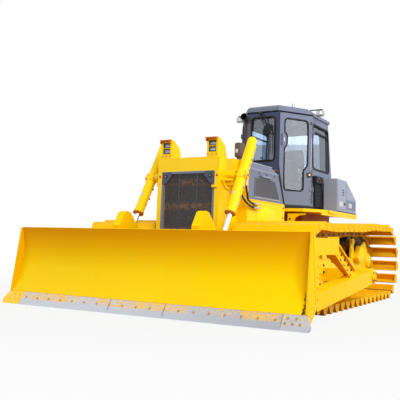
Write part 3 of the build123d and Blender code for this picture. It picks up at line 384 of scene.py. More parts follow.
@dataclass(frozen=True)
class FrontShadePaint(Paint):
    """Paint with painted shade in front of a line, as on the windscreen's wall and the lamps' visors."""

    # colour of the painted shade in front of the line, and where that line stands
    front: Colour = (56, 68, 98)
    front_line: float = station(3.03)

    def base(self, graph: Graph) -> Value | Sequence[float]:
        """The paint's own colour, and the painted shade colour in front of the line."""
        return graph.blend(graph.axis("Y") < self.front_line, super().base(graph), linear(self.front))


@dataclass(frozen=True)
class BladePaint(Paint):
    """Blade paint, with the left end plate's shadow painted on the moldboard beside it, and scraped to rusty
    steel at its foot.
    """

    seam: float = 1.985
    seam_half: float = 0.02
    scraped_below: float = 0.62
    scraped_before: float = station(0.42)
    # width, middle height and half height of the crescent of painted shadow beside the left end plate
    end_plate_shadow: tuple[float, float, float] = (0.17, 0.6, 0.36)

    def base(self, graph: Graph) -> Value | Sequence[float]:
        """The blade's yellow with the end plate's painted shadow and scraped seams.

        Args:
            graph: the material's node tree.

        Returns:
            The colour.
        """
        # painted shadow of the left end plate: a crescent beside it, blended towards deep orange
        width, middle, half = self.end_plate_shadow
        rise = (graph.axis("Z") - middle) / half
        inner = (1.0 - rise * rise).held() * -width + self.seam
        shadow_share = (graph.axis("X") - inner).ramp(-0.03, 0.05) * (graph.axis("X") < self.seam + 0.03)
        before = graph.axis("Y") < self.scraped_before
        plain = graph.blend(shadow_share * before * 0.3, super().base(graph), linear((226, 138, 0)))
        beside = (abs(graph.axis("X") - self.seam) < self.seam_half) * before
        low = graph.axis("Z").ramp(self.scraped_below, self.scraped_below - 0.4)
        marks = graph.noise(1.0, 4.0, 0.7, graph.stretched((60.0, 60.0, 14.0)))
        scraped = beside * (marks + low * 0.2 > 0.64)
        return graph.blend(scraped, plain, linear((70, 50, 34)))


@dataclass(frozen=True)
class Metal(Finish):
    """Bare or worked metal with drawn lines, rust and leftover paint."""

    slot: str = "dark_steel"
    metallic: float = 1.0
    lines: Point | None = None
    rust: float = 0.0
    rust_colour: Colour = (128, 86, 52)
    leftover: Colour | None = None
    leftover_above: float = 0.0
    painted_before: float | None = None
    grime: float = 0.0

    def dress(self, graph: Graph) -> None:
        """Writes the metal.

        Args:
            graph: the material's node tree.
        """
        cloudy = graph.noise(8.0, 4.0, 0.6)
        fine = graph.noise(60.0, 4.0, 0.65)
        lined = graph.noise(1.0, 3.0, 0.6, graph.stretched(self.lines)) if self.lines else fine
        colour = graph.toned(linear(self.colour), cloudy * 0.16 + lined * 0.24 + 0.8)
        rough = (lined * 0.22 + cloudy * 0.1 + (self.roughness - 0.16)).held()
        metal: Value | float = self.metallic
        if self.grime:
            grime = (cloudy.ramp(0.45, 0.75) * self.grime).held()
            colour = graph.blend(grime, colour, linear((60, 50, 40)))
            rough = rough + grime * 0.3
        if self.rust:
            spots = (graph.noise(17.0, 5.0, 0.7) + cloudy * 0.3).ramp(0.86 - 0.2 * self.rust, 0.92)
            colour = graph.blend(spots, colour, linear(self.rust_colour))
            rough = rough + spots * 0.3
            metal = (1.0 - spots) * self.metallic
        if self.leftover is not None:
            height = graph.axis("Z").ramp(self.leftover_above, self.leftover_above + 0.06)
            patches = graph.noise(1.6, 2.0).ramp(0.42, 0.56)
            left = graph.noise(52.0, 5.0, 0.75) * 0.8 + cloudy * 0.2 + height * 0.04 + patches * 0.08
            left = left.ramp(0.565, 0.63) * height.ramp(0.05, 0.4)
            if self.painted_before is not None:
                left = (left + (graph.axis("X") < self.painted_before)).held()
            colour = graph.blend(left, colour, linear(self.leftover))
            metal = (1.0 - left) * metal
        graph.set(Base_Color=colour, Roughness=rough.held(), Metallic=metal)
        graph.bump(lined * 0.7 + fine * 0.3, 0.0008)


@dataclass(frozen=True)
class Rubber(Finish):
    """Moulded rubber or plastic with a fine grain."""

    slot: str = "black_plastic"
    grain: float = 400.0
    depth: float = 0.0004
    dust: float = 0.1
    sheen: float = 0.4

    def dress(self, graph: Graph) -> None:
        """Writes the moulded surface.

        Args:
            graph: the material's node tree.
        """
        dusty = graph.noise(12.0, 4.0, 0.6).ramp(0.5, 0.9)
        colour = graph.blend(dusty * self.dust, linear(self.colour), linear((110, 108, 104)))
        graph.set(Base_Color=colour, Roughness=(dusty * 0.2 + self.roughness).held(),
                  Specular_IOR_Level=self.sheen)
        graph.bump(graph.cells(self.grain), self.depth)


@dataclass(frozen=True)
class Glass(Finish):
    """Safety glass under a pale film of dust and painted reflection streaks; the windscreen is cleaner and
    darker.
    """

    clear: float = 1.0
    screen: Colour | None = None

    def dress(self, graph: Graph) -> None:
        """Writes the glass.

        Args:
            graph: the material's node tree.
        """
        film = graph.noise(5.0, 4.0, 0.6).ramp(0.4, 1.0)
        # painted reflection: tall pale streaks that lighten the glass
        reflection_streaks = graph.noise(1.0, 3.0, 0.6, graph.stretched((9.0, 9.0, 0.8))).ramp(0.35, 0.75)
        colour: Value | Sequence[float] = linear(self.colour)
        if self.screen is not None:
            front = graph.axis("Y") < station(3.0)
            colour = graph.blend(front, colour, linear(self.screen))
        colour = graph.toned(colour, reflection_streaks * 0.16 + film * 0.06 + 0.84)
        graph.set(Base_Color=colour, Transmission_Weight=self.clear, IOR=1.45, Specular_IOR_Level=0.3,
                  Roughness=(film * 0.05 + self.roughness).held())


@dataclass(frozen=True)
class Lens(Finish):
    """Ribbed lamp glass over a bright reflector."""

    slot: str = "lamp_glass"
    pitch: float = 0.012

    def dress(self, graph: Graph) -> None:
        """Writes the ribbed lens.

        Args:
            graph: the material's node tree.
        """
        ribs = graph.axis("X").ripple(self.pitch)
        colour = graph.toned(linear(self.colour), ribs * 0.25 + graph.noise(20.0) * 0.3 + 0.6)
        graph.set(Base_Color=colour, Roughness=(ribs * 0.1 + self.roughness).held(), Metallic=0.35,
                  Coat_Weight=1.0, Coat_Roughness=0.03)
        graph.bump(ribs, 0.002)


@dataclass(frozen=True)
class Cloth(Finish):
    """Woven seat cover, its two threads crossing at right angles."""

    slot: str = "seat_cover"
    pitch: float = 0.006

    def dress(self, graph: Graph) -> None:
        """Writes the weave.

        Args:
            graph: the material's node tree.
        """
        across = graph.axis("X").ripple(self.pitch)
        along = (graph.axis("Y") + graph.axis("Z")).ripple(self.pitch)
        weave = across * along
        worn = graph.noise(9.0, 4.0).ramp(0.4, 0.8)
        colour = graph.toned(graph.blend(worn * 0.3, linear(self.colour), linear((92, 94, 98))),
                             weave * 0.3 + 0.8)
        graph.set(Base_Color=colour, Roughness=(worn * 0.1 + self.roughness).held(), Sheen_Weight=0.3)
        graph.bump(weave, 0.001)


@dataclass(frozen=True)
class Core(Finish):
    """Radiator core: fine upright fins between flat tubes."""

    def dress(self, graph: Graph) -> None:
        """Writes the fins with painted glints of warm light between them.

        Args:
            graph: the material's node tree.
        """
        fins = graph.axis("Z").ripple(0.011)
        tubes = graph.axis("X").ripple(0.06).ramp(0.0, 0.25)
        height = graph.axis("Z")
        # painted glints: bands of warm orange light across the core
        glint_bands = (height - 1.43).ripple(0.31).ramp(0.42, 0.1)
        painted_glint = (graph.noise(16.0, 4.0, 0.7).ramp(0.42, 0.56) * glint_bands).held()
        colour = graph.blend(painted_glint, linear(self.colour), linear((226, 150, 24)))
        graph.set(Base_Color=graph.toned(colour, fins * tubes * 0.7 + 0.3), Metallic=0.2,
                  Roughness=(fins * 0.2 + self.roughness).held())
        graph.bump(fins, 0.003)


@dataclass(frozen=True)
class Vent(Finish):
    """Fine punched sheet: dark holes in rows in grey metal."""

    slot: str = "black_paint"
    pitch: float = 0.014

    def dress(self, graph: Graph) -> None:
        """Writes the punched holes.

        Args:
            graph: the material's node tree.
        """
        down = graph.axis("Y").ripple(self.pitch)
        up = graph.axis("Z").ripple(self.pitch)
        hole = (down * down + up * up).ramp(0.5, 0.62)
        colour = graph.blend(hole, linear(self.colour), linear((12, 12, 14)))
        graph.set(Base_Color=colour, Roughness=(hole * 0.2 + self.roughness).held(), Metallic=0.2)
        graph.bump(1.0 - hole, 0.004)


# Each paint's shade colour below is painted shade for the faces that look down.
YELLOW = Paint("machine_yellow", (255, 216, 0), 0.34, dust=0.04, chips=0.12, shade_colour=(240, 160, 0))
BLADE_YELLOW = BladePaint("blade_yellow", (255, 213, 0), 0.36, dust=0.04, soil=0.05, chips=0.3,
                          shade_colour=(222, 100, 0), depth=1.4, sheen=0.04, coat=0.05)
TRACK_YELLOW = Paint("track_yellow", (255, 202, 4), 0.46, dust=0.4, soil=0.22, chips=0.9, shade_colour=(222, 112, 0),
                     depth=1.3, dust_colour=(196, 160, 96), coat=0.1, sheen=0.06)
FRAME_YELLOW = Paint("frame_yellow", (255, 214, 4), 0.4, dust=0.3, soil=0.12, chips=0.5, shade_colour=(246, 170, 2),
                     dust_colour=(206, 170, 100), coat=0.1)
# A darker copy of the machine yellow: painted shade for the rear case in the recess under the deck.
SHADED_CASE_YELLOW = Paint("shaded_case_yellow", (206, 118, 10), 0.5, dust=0.4, soil=0.4, chips=0.6, shade_colour=(150, 76, 4),
                    coat=0.0)
GREY = Paint("cab_grey", (112, 120, 143), 0.36, "grey_paint", dust=0.12, chips=0.1, under=(70, 72, 78),
             dust_colour=(190, 190, 186), coat=0.3)
# The cab shell and the headlamp boxes carry painted shade on their front faces.
CAB_GREY = FrontShadePaint("cab_shell_grey", (112, 120, 143), 0.36, "grey_paint", dust=0.12, chips=0.1,
                      under=(70, 72, 78), dust_colour=(190, 190, 186), coat=0.3)
LAMP_YELLOW = FrontShadePaint("lamp_box_yellow", (255, 214, 0), 0.36, dust=0.04, chips=0.12, shade_colour=(226, 130, 0),
                         depth=1.1, front=(204, 104, 8), front_line=station(0.94))
DARK_GREY = Paint("trim_grey", (74, 80, 98), 0.42, "grey_paint", dust=0.2, chips=0.15, under=(50, 50, 54),
                  dust_colour=(160, 160, 158), coat=0.2)
CHARCOAL = Paint("charcoal", (38, 40, 48), 0.5, "black_paint", dust=0.25, chips=0.1, under=(20, 20, 22),
                 dust_colour=(120, 118, 112), coat=0.1)
BOWL_PAINT = Paint("intake_brown", (96, 81, 73), 0.45, "intake_paint", dust=0.3, coat=0.2,
                   dust_colour=(170, 160, 150))
RED = Paint("cap_red", (206, 40, 24), 0.3, dust=0.0)
EDGE_STEEL = Metal("edge_steel", (164, 167, 176), 0.46, metallic=0.55, lines=(4.0, 60.0, 60.0), rust=0.25,
                   leftover=(240, 188, 56), leftover_above=0.06)
BIT_STEEL = Metal("bit_steel", (178, 180, 188), 0.5, metallic=0.5, lines=(5.0, 40.0, 40.0), rust=0.3,
                  leftover=(250, 206, 4), leftover_above=0.03, painted_before=0.0)
CAST_STEEL = Metal("cast_steel", (96, 84, 70), 0.55, metallic=0.6, rust=0.5, grime=0.5)
DARK_STEEL = Metal("dark_steel", (62, 60, 62), 0.5, metallic=0.6, grime=0.3)
PIPE_STEEL = Metal("pipe_steel", (44, 44, 50), 0.42, metallic=0.5, lines=(20.0, 20.0, 2.0), grime=0.3)
CHROME = Metal("chrome_plate", (226, 232, 240), 0.24, "chrome_rod", lines=(60.0, 60.0, 6.0))
ZINC = Metal("zinc_fitting", (192, 190, 180), 0.4, "bare_steel", metallic=0.9)
BRASS = Metal("brass_fitting", (214, 170, 90), 0.4, "bare_steel", metallic=0.9)
SEAL = Rubber("seal_rubber", (11, 12, 17), 0.55, dust=0.03, sheen=0.2)
HOSE = Rubber("hose_rubber_skin", (20, 20, 22), 0.45, "hose_rubber", grain=300.0)
PLASTIC = Rubber("black_plastic_skin", (24, 25, 28), 0.5, grain=600.0, depth=0.0003)
GLASS = Glass("window_glass", (188, 202, 218), 0.02, clear=0.95, screen=(150, 168, 190))
LAMP = Lens("lamp_lens", (196, 202, 214), 0.12)
HEAD_LENS = Lens("headlamp_lens", (128, 140, 168), 0.2)
AMBER = Lens("amber_lens", (236, 132, 20), 0.15)
CLOTH = Cloth("seat_cloth", (40, 42, 48), 0.85)
CORE = Core("radiator_fins", (20, 17, 16), 0.6)

LINK_YELLOW = Paint("link_yellow", (214, 152, 20), 0.5, dust=0.5, soil=0.9, chips=1.4, under=(70, 56, 42),
                    coat=0.05)
YELLOW_BOLT = Paint("bolt_yellow", (250, 196, 6), 0.4, dust=0.1, soil=0.2)
DARK_BOLT = Metal("dark_bolt", (74, 66, 60), 0.5, metallic=0.7, rust=0.3)
GLAND_OCHRE = Paint("gland_ochre", (214, 134, 16), 0.5, dust=0.1, coat=0.0)
RUST_BOLT = Metal("rust_bolt", (176, 132, 74), 0.55, metallic=0.5, rust=0.5)
MESH_STEEL = Metal("mesh_steel", (114, 112, 114), 0.45, metallic=0.35)
LAMP_SHELL = Metal("lamp_shell", (158, 162, 174), 0.4, "bare_steel", metallic=0.35)
LIGHT_BLUE = Metal("roof_light_shell", (150, 172, 196), 0.3, "lamp_glass", metallic=0.4)
# Orange painted shade for the undersides of the headlamp visors.
VISOR_SHADE = Paint("visor_shade_orange", (206, 118, 10), 0.5, coat=0.0)
REAR_GREY = Paint("rear_box_grey", (150, 157, 178), 0.4, "grey_paint", dust=0.1, chips=0.1,
                  under=(70, 72, 78))
PALE_GREY = Paint("pale_grey", (176, 180, 190), 0.4, "grey_paint", dust=0.1, coat=0.2)
PATCH = Finish("blank_patch", (196, 198, 206), 0.5)
VENT = Vent("vent_mesh_skin", (120, 123, 138), 0.5)

# ------------------------------------------------------------------ metal work


def frame_at(origin: Sequence[float], along: Sequence[float], out: Sequence[float]) -> Matrix:
    """Frame on a surface.

    Args:
        origin: where the frame stands.
        along: its X direction.
        out: its Z direction, away from the surface.

    Returns:
        The matrix that takes the frame's own coordinates to the machine's.
    """
    z = Vector(out).normalized()
    x = Vector(along)
    x = (x - z * x.dot(z)).normalized()
    y = z.cross(x)
    turn = Matrix((x, y, z)).transposed().to_4x4()
    return Matrix.Translation(Vector(origin)) @ turn


def by(x: float, y: float, z: float) -> Matrix:
    """Move by some metres on each axis."""
    return Matrix.Translation((x, y, z))


def side_on(x: float, y: float = 0.0) -> Matrix:
    """Frame whose X runs along the machine's Y, Y up and Z out to the left, at a given x and y."""
    return Matrix(((0, 0, 1, x), (1, 0, 0, y), (0, 1, 0, 0), (0, 0, 0, 1)))


def arc(radius: float, degrees: Iterable[float]) -> list[Flat]:
    """Points round a circle at some angles in degrees."""
    return [(radius * math.cos(turn), radius * math.sin(turn)) for turn in map(math.radians, degrees)]


def circle(radius: float, count: int, start: float = 0.0) -> list[Flat]:
    """Evenly spaced points round a circle, the first at start degrees."""
    return arc(radius, [start + 360 * index / count for index in range(count)])


def grown(outline: Sequence[Flat], distance: float) -> list[Flat]:
    """Outline moved outwards, corner by corner.

    Args:
        outline: its corners, in either direction.
        distance: how far, less than 0 for inwards.

    Returns:
        The moved corners.
    """
    corners = [Vector(corner) for corner in outline]
    after = corners[1:] + corners[:1]
    turning = sum(here.x * there.y - there.x * here.y for here, there in zip(corners, after))
    moved = []
    for index, here in enumerate(corners):
        sides = (here - corners[index - 1], after[index] - here)
        first, second = (Vector((side.y, -side.x)).normalized() for side in sides)
        middle = (first + second).normalized()
        reach = math.copysign(distance, turning * distance) / middle.dot(first)
        moved.append(tuple(here + middle * reach))
    return moved


HERE = Matrix.Identity(4)
MIRROR = Matrix.Diagonal((-1, 1, 1, 1))


class Shape:
    """One closed form, made from a bmesh primitive and worked with bmesh operators."""

    def __init__(self) -> None:
        """Starts empty."""
        self.mesh = bmesh.new()

    @classmethod
    def block(cls, x: Flat | float, y: Flat | float, z: Flat | float, bevel: float = 0.0,
              segments: int = 1) -> "Shape":
        """Box between limits on each axis, with its edges broken.

        Args:
            x: limits along X, or how far it reaches both ways.
            y: the same along Y.
            z: the same along Z.
            bevel: width of the broken edges.
            segments: facets across each broken edge.

        Returns:
            The shape.
        """
        made = cls()
        spans = [span if isinstance(span, tuple) else (-span, span) for span in (x, y, z)]
        size = Matrix.Diagonal((*(high - low for low, high in spans), 1))
        middle = by(*((low + high) / 2 for low, high in spans))
        bmesh.ops.create_cube(made.mesh, size=1.0, matrix=middle @ size)
        return made.beveled(bevel, segments)

    @classmethod
    def slab(cls, outline: Sequence[Flat], depth: float, bevel: float = 0.0, segments: int = 1) -> "Shape":
        """Outline in the XY plane run up by depth.

        Args:
            outline: its corners.
            depth: how far it is run up.
            bevel: width of the broken edges.
            segments: facets across each broken edge.

        Returns:
            The shape.
        """
        made = cls()
        face = made.mesh.faces.new([made.mesh.verts.new((x, y, 0.0)) for x, y in outline])
        raised = bmesh.ops.extrude_face_region(made.mesh, geom=[face])
        lifted = [item for item in raised["geom"] if isinstance(item, bmesh.types.BMVert)]
        bmesh.ops.translate(made.mesh, verts=lifted, vec=(0, 0, depth))
        return made.beveled(bevel, segments)

    @classmethod
    def ring(cls, outline: Sequence[Flat], width: float, depth: float, bevel: float = 0.0,
             rounding: float = 0.0, grow: float = 0.0) -> "Shape":
        """Band along the inside of an outline, run up by depth.

        Args:
            outline: points of the outline in the XY plane.
            width: width of the band.
            depth: height of the band.
            bevel: width of its broken edges.
            rounding: how far each corner is rounded off.
            grow: how far the outline is moved out first.

        Returns:
            The shape.
        """
        made = cls()
        face = made.mesh.faces.new([made.mesh.verts.new((x, y, 0.0)) for x, y in grown(outline, grow)])
        if rounding:
            bmesh.ops.bevel(made.mesh, geom=made.mesh.verts[:], offset=rounding, offset_type="OFFSET",
                            segments=4, profile=0.5, affect="VERTICES", clamp_overlap=True, material=-1)
        made.mesh.normal_update()
        face = max(made.mesh.faces, key=lambda one: one.calc_area())
        band = bmesh.ops.inset_region(made.mesh, faces=[face], thickness=width, use_even_offset=True,
                                      use_boundary=True)["faces"]
        bmesh.ops.delete(made.mesh, geom=[face], context="FACES_ONLY")
        raised = bmesh.ops.extrude_face_region(made.mesh, geom=band)
        lifted = [item for item in raised["geom"] if isinstance(item, bmesh.types.BMVert)]
        bmesh.ops.translate(made.mesh, verts=lifted, vec=(0, 0, depth))
        return made.beveled(bevel, 2)

    @classmethod
    def drum(cls, radius: float, low: float, high: float, sides: int = 20, far: float | None = None,
             bevel: float = 0.0) -> "Shape":
        """Cylinder or cone along Z.

        Args:
            radius: radius at the low end.
            low: lower end.
            high: upper end.
            sides: facets round it.
            far: radius at the high end, the same if not given.
            bevel: width of the broken rims.

        Returns:
            The shape.
        """
        made = cls()
        bmesh.ops.create_cone(made.mesh, cap_ends=True, segments=sides, radius1=radius,
                              radius2=radius if far is None else far, depth=high - low,
                              matrix=by(0, 0, (low + high) / 2))
        return made.beveled(bevel, 2, 60)

    @classmethod
    def turned(cls, profile: Sequence[Flat], sides: int = 32) -> "Shape":
        """Profile of (radius, height) points turned about Z; a closed profile makes a ring.

        Args:
            profile: its points, each a radius and a height.
            sides: facets round it.

        Returns:
            The shape.
        """
        made = cls()
        points = [made.mesh.verts.new((radius, 0.0, height)) for radius, height in profile]
        edges = [made.mesh.edges.new(pair) for pair in zip(points, points[1:])]
        bmesh.ops.spin(made.mesh, geom=points + edges, cent=(0, 0, 0), axis=(0, 0, 1), angle=2 * math.pi,
                       steps=sides, use_merge=True)
        bmesh.ops.remove_doubles(made.mesh, verts=made.mesh.verts[:], dist=1e-5)
        return made

    @classmethod
    def ball(cls, radius: float, centre: Point = (0, 0, 0), sides: int = 16) -> "Shape":
        """Sphere.

        Args:
            radius: its radius.
            centre: its middle.
            sides: facets round it.

        Returns:
            The shape.
        """
        made = cls()
        bmesh.ops.create_uvsphere(made.mesh, u_segments=sides, v_segments=sides // 2, radius=radius,
                                  matrix=by(*centre))
        return made

    @classmethod
    def bolt(cls, across: float, height: float | None = None) -> "Shape":
        """Hexagon head on a washer, standing on the XY plane.

        Args:
            across: width of the hexagon.
            height: height of the head, half the width if not given.

        Returns:
            The shape.
        """
        height = height or across / 2
        made = cls.drum(across * 0.68, -0.001, height * 0.22, 12)
        head = cls.drum(across / math.sqrt(3), height * 0.2, height, 6, far=across / math.sqrt(3) * 0.86)
        return made.joined(head)

    @classmethod
    def rod(cls, start: Sequence[float], end: Sequence[float], radius: float, sides: int = 12) -> "Shape":
        """Round bar between two points.

        Args:
            start: one end.
            end: the other end.
            radius: its radius.
            sides: facets round it.

        Returns:
            The shape.
        """
        run = Vector(end) - Vector(start)
        made = cls.drum(radius, 0.0, run.length, sides)
        return made.moved(frame_at(start, run.orthogonal(), run))

    def joined(self, other: "Shape") -> "Shape":
        """This shape with another beside it.

        Args:
            other: what is added.

        Returns:
            This shape.
        """
        spare = bpy.data.meshes.new("spare")
        other.mesh.to_mesh(spare)
        self.mesh.from_mesh(spare)
        bpy.data.meshes.remove(spare)
        return self

    def beveled(self, width: float, segments: int = 1, angle: float = 30.0) -> "Shape":
        """Breaks the sharp edges.

        Args:
            width: width of the broken edges.
            segments: facets across each broken edge.
            angle: edges under this many degrees stay.

        Returns:
            This shape.
        """
        if width:
            sharp = [edge for edge in self.mesh.edges if edge.calc_face_angle(0.0) > math.radians(angle)]
            bmesh.ops.bevel(self.mesh, geom=sharp, offset=width, offset_type="OFFSET", segments=segments,
                            profile=0.5, affect="EDGES", clamp_overlap=True, material=-1)
        return self

    def moved(self, matrix: Matrix) -> "Shape":
        """The shape moved by a matrix."""
        bmesh.ops.transform(self.mesh, matrix=matrix, verts=self.mesh.verts[:])
        return self


class Piece:
    """A piece of the machine, gathered from shapes."""

    def __init__(self, name: str, finish: Finish, body: Body = Body.CHASSIS) -> None:
        """Starts an empty piece.

        Args:
            name: the piece's name.
            finish: its finish.
            body: the body that it rides on.
        """
        self.name = name
        self.finish = finish
        self.body = body
        self.mesh = bmesh.new()

    def add(self, shape: Shape, places: Places = HERE, both: bool = False) -> "Piece":
        """Adds copies of a shape.

        Args:
            shape: the form.
            places: a matrix, or one for each copy.
            both: whether each copy also stands mirrored on the other side.

        Returns:
            The piece.
        """
        for place in [places] if isinstance(places, Matrix) else places:
            for matrix in ((place, MIRROR @ place) if both else (place,)):
                spare = bpy.data.meshes.new("spare")
                shape.mesh.to_mesh(spare)
                spare.transform(matrix)
                if matrix.determinant() < 0:
                    spare.flip_normals()
                self.mesh.from_mesh(spare)
                bpy.data.meshes.remove(spare)
        return self

    def pair(self, shape: Shape, places: Places = HERE) -> "Piece":
        """Adds copies of a shape on the left and their mirror images on the right."""
        return self.add(shape, places, both=True)

    def finished(self, replaces: Sequence[str] = (), smooth: float = 35.0, slot: str = "") -> None:
        """Makes the Blender object and sets it on its body.

        Args:
            replaces: frame nodes that it stands for.
            smooth: edges sharper than this many degrees stay sharp.
            slot: not used.
        """
        bmesh.ops.recalc_face_normals(self.mesh, faces=self.mesh.faces[:])
        for edge in self.mesh.edges:
            edge.smooth = edge.calc_face_angle(math.pi) < math.radians(smooth)
        settle(meshed(self.name, self.mesh), self.finish, self.body, replaces)


def linked(name: str, data: bpy.types.ID) -> bpy.types.Object:
    """New object in the scene that shows some data.

    Args:
        name: its name.
        data: what it shows.

    Returns:
        The object.
    """
    made = bpy.data.objects.new(name, data)
    bpy.context.scene.collection.objects.link(made)
    return made


def meshed(name: str, form: bmesh.types.BMesh) -> bpy.types.Object:
    """New object from a finished form, with smooth faces.

    Args:
        name: its name.
        form: the form, which is used up.

    Returns:
        The object.
    """
    for face in form.faces:
        face.smooth = True
    mesh = bpy.data.meshes.new(name)
    form.to_mesh(mesh)
    form.free()
    return linked(name, mesh)


def piped(name: str, kind: str, points: Sequence[Sequence[float]], radius: float) -> bpy.types.Object:
    """New round cord or pipe along points.

    Args:
        name: its name.
        kind: Blender's type name of its spline.
        points: the spline's points.
        radius: its radius.

    Returns:
        The object.
    """
    curve = bpy.data.curves.new(name, "CURVE")
    curve.dimensions = "3D"
    curve.bevel_depth = radius
    curve.bevel_resolution = 4
    curve.resolution_u = 12
    curve.use_fill_caps = True
    line = curve.splines.new(kind)
    line.points.add(len(points) - 1)
    for point, place in zip(line.points, points):
        point.co = (*place, 1.0)
    return linked(name, curve)


def settle(made: bpy.types.Object, finish: Finish, body: Body, replaces: Sequence[str] = ()) -> None:
    """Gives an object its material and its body.

    Args:
        made: the object, in place.
        finish: its finish.
        body: the body that it rides on.
        replaces: frame nodes that it stands for.
    """
    made.data.materials.append(finish.material())
    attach(made, body.value)
    if replaces:
        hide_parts(*replaces)
    log.info("%s on %s, %s", made.name, body.value, finish.name)


def rows(points: Iterable[Point], along: Sequence[float], out: Sequence[float]) -> list[Matrix]:
    """A frame at each point, all facing the same way."""
    return [frame_at(point, along, out) for point in points]


def outwards(points: Iterable[Point]) -> list[Matrix]:
    """A frame at each point of the left side, facing out, its X to the rear."""
    return rows(points, (0, 1, 0), (1, 0, 0))


def spaced(start: float, end: float, count: int) -> list[float]:
    """Evenly spaced numbers from start to end."""
    return [start + (end - start) * index / (count - 1) for index in range(count)]


# ------------------------------------------------------------------ the machine


@dataclass
class Carcass:
    """Finishes of the frame's own nodes."""

    groups: tuple[tuple[Finish, str], ...] = (
        # finish, nodes without their _left or _right
        (BLADE_YELLOW, "moldboard blade_side_plates blade_back blade_horns push_arm push_brace"),
        (EDGE_STEEL, "cutting_edge"), (BIT_STEEL, "end_bits"), (CHROME, "lift_rod"), (TRACK_YELLOW, "track"),
        (YELLOW, "lift_barrel lift_yokes main_frame drawbar equalizer_bar"),
        (YELLOW, "radiator_guard hood side_bodies platform"),
        (FRAME_YELLOW, "track_frame final_drives idlers"),
        (CAST_STEEL, "sprockets track_rollers carrier_rollers"), (SHADED_CASE_YELLOW, "rear_case"),
        (DARK_GREY, "grille"), (CORE, "radiator_core"), (DARK_STEEL, "engine_block"),
        (GREY, "front_side_boxes cab_roof door fuel_tank"), (LAMP_YELLOW, "headlamps"),
        (CAB_GREY, "cab_shell"), (HEAD_LENS, "headlamp_lenses"), (PIPE_STEEL, "exhaust_pipe"),
        (BOWL_PAINT, "precleaner"), (GLASS, "cab_glass door_glass"), (CLOTH, "seat"),
        (PLASTIC, "console work_lamps"), (CHARCOAL, "step_boxes"), (REAR_GREY, "rear_side_boxes"),
        (LIGHT_BLUE, "roof_light"), (HOSE, "hose_upper hose_lower"),
    )

    def build(self) -> None:
        """Gives each node its finish."""
        finishes = {stem: finish for finish, stems in self.groups for stem in stems.split()}
        for name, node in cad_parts.items():
            finish = finishes[name.removesuffix("_left").removesuffix("_right")]
            node.data.materials.clear()
            node.data.materials.append(finish.material())
            log.info("%s, %s", name, finish.name)


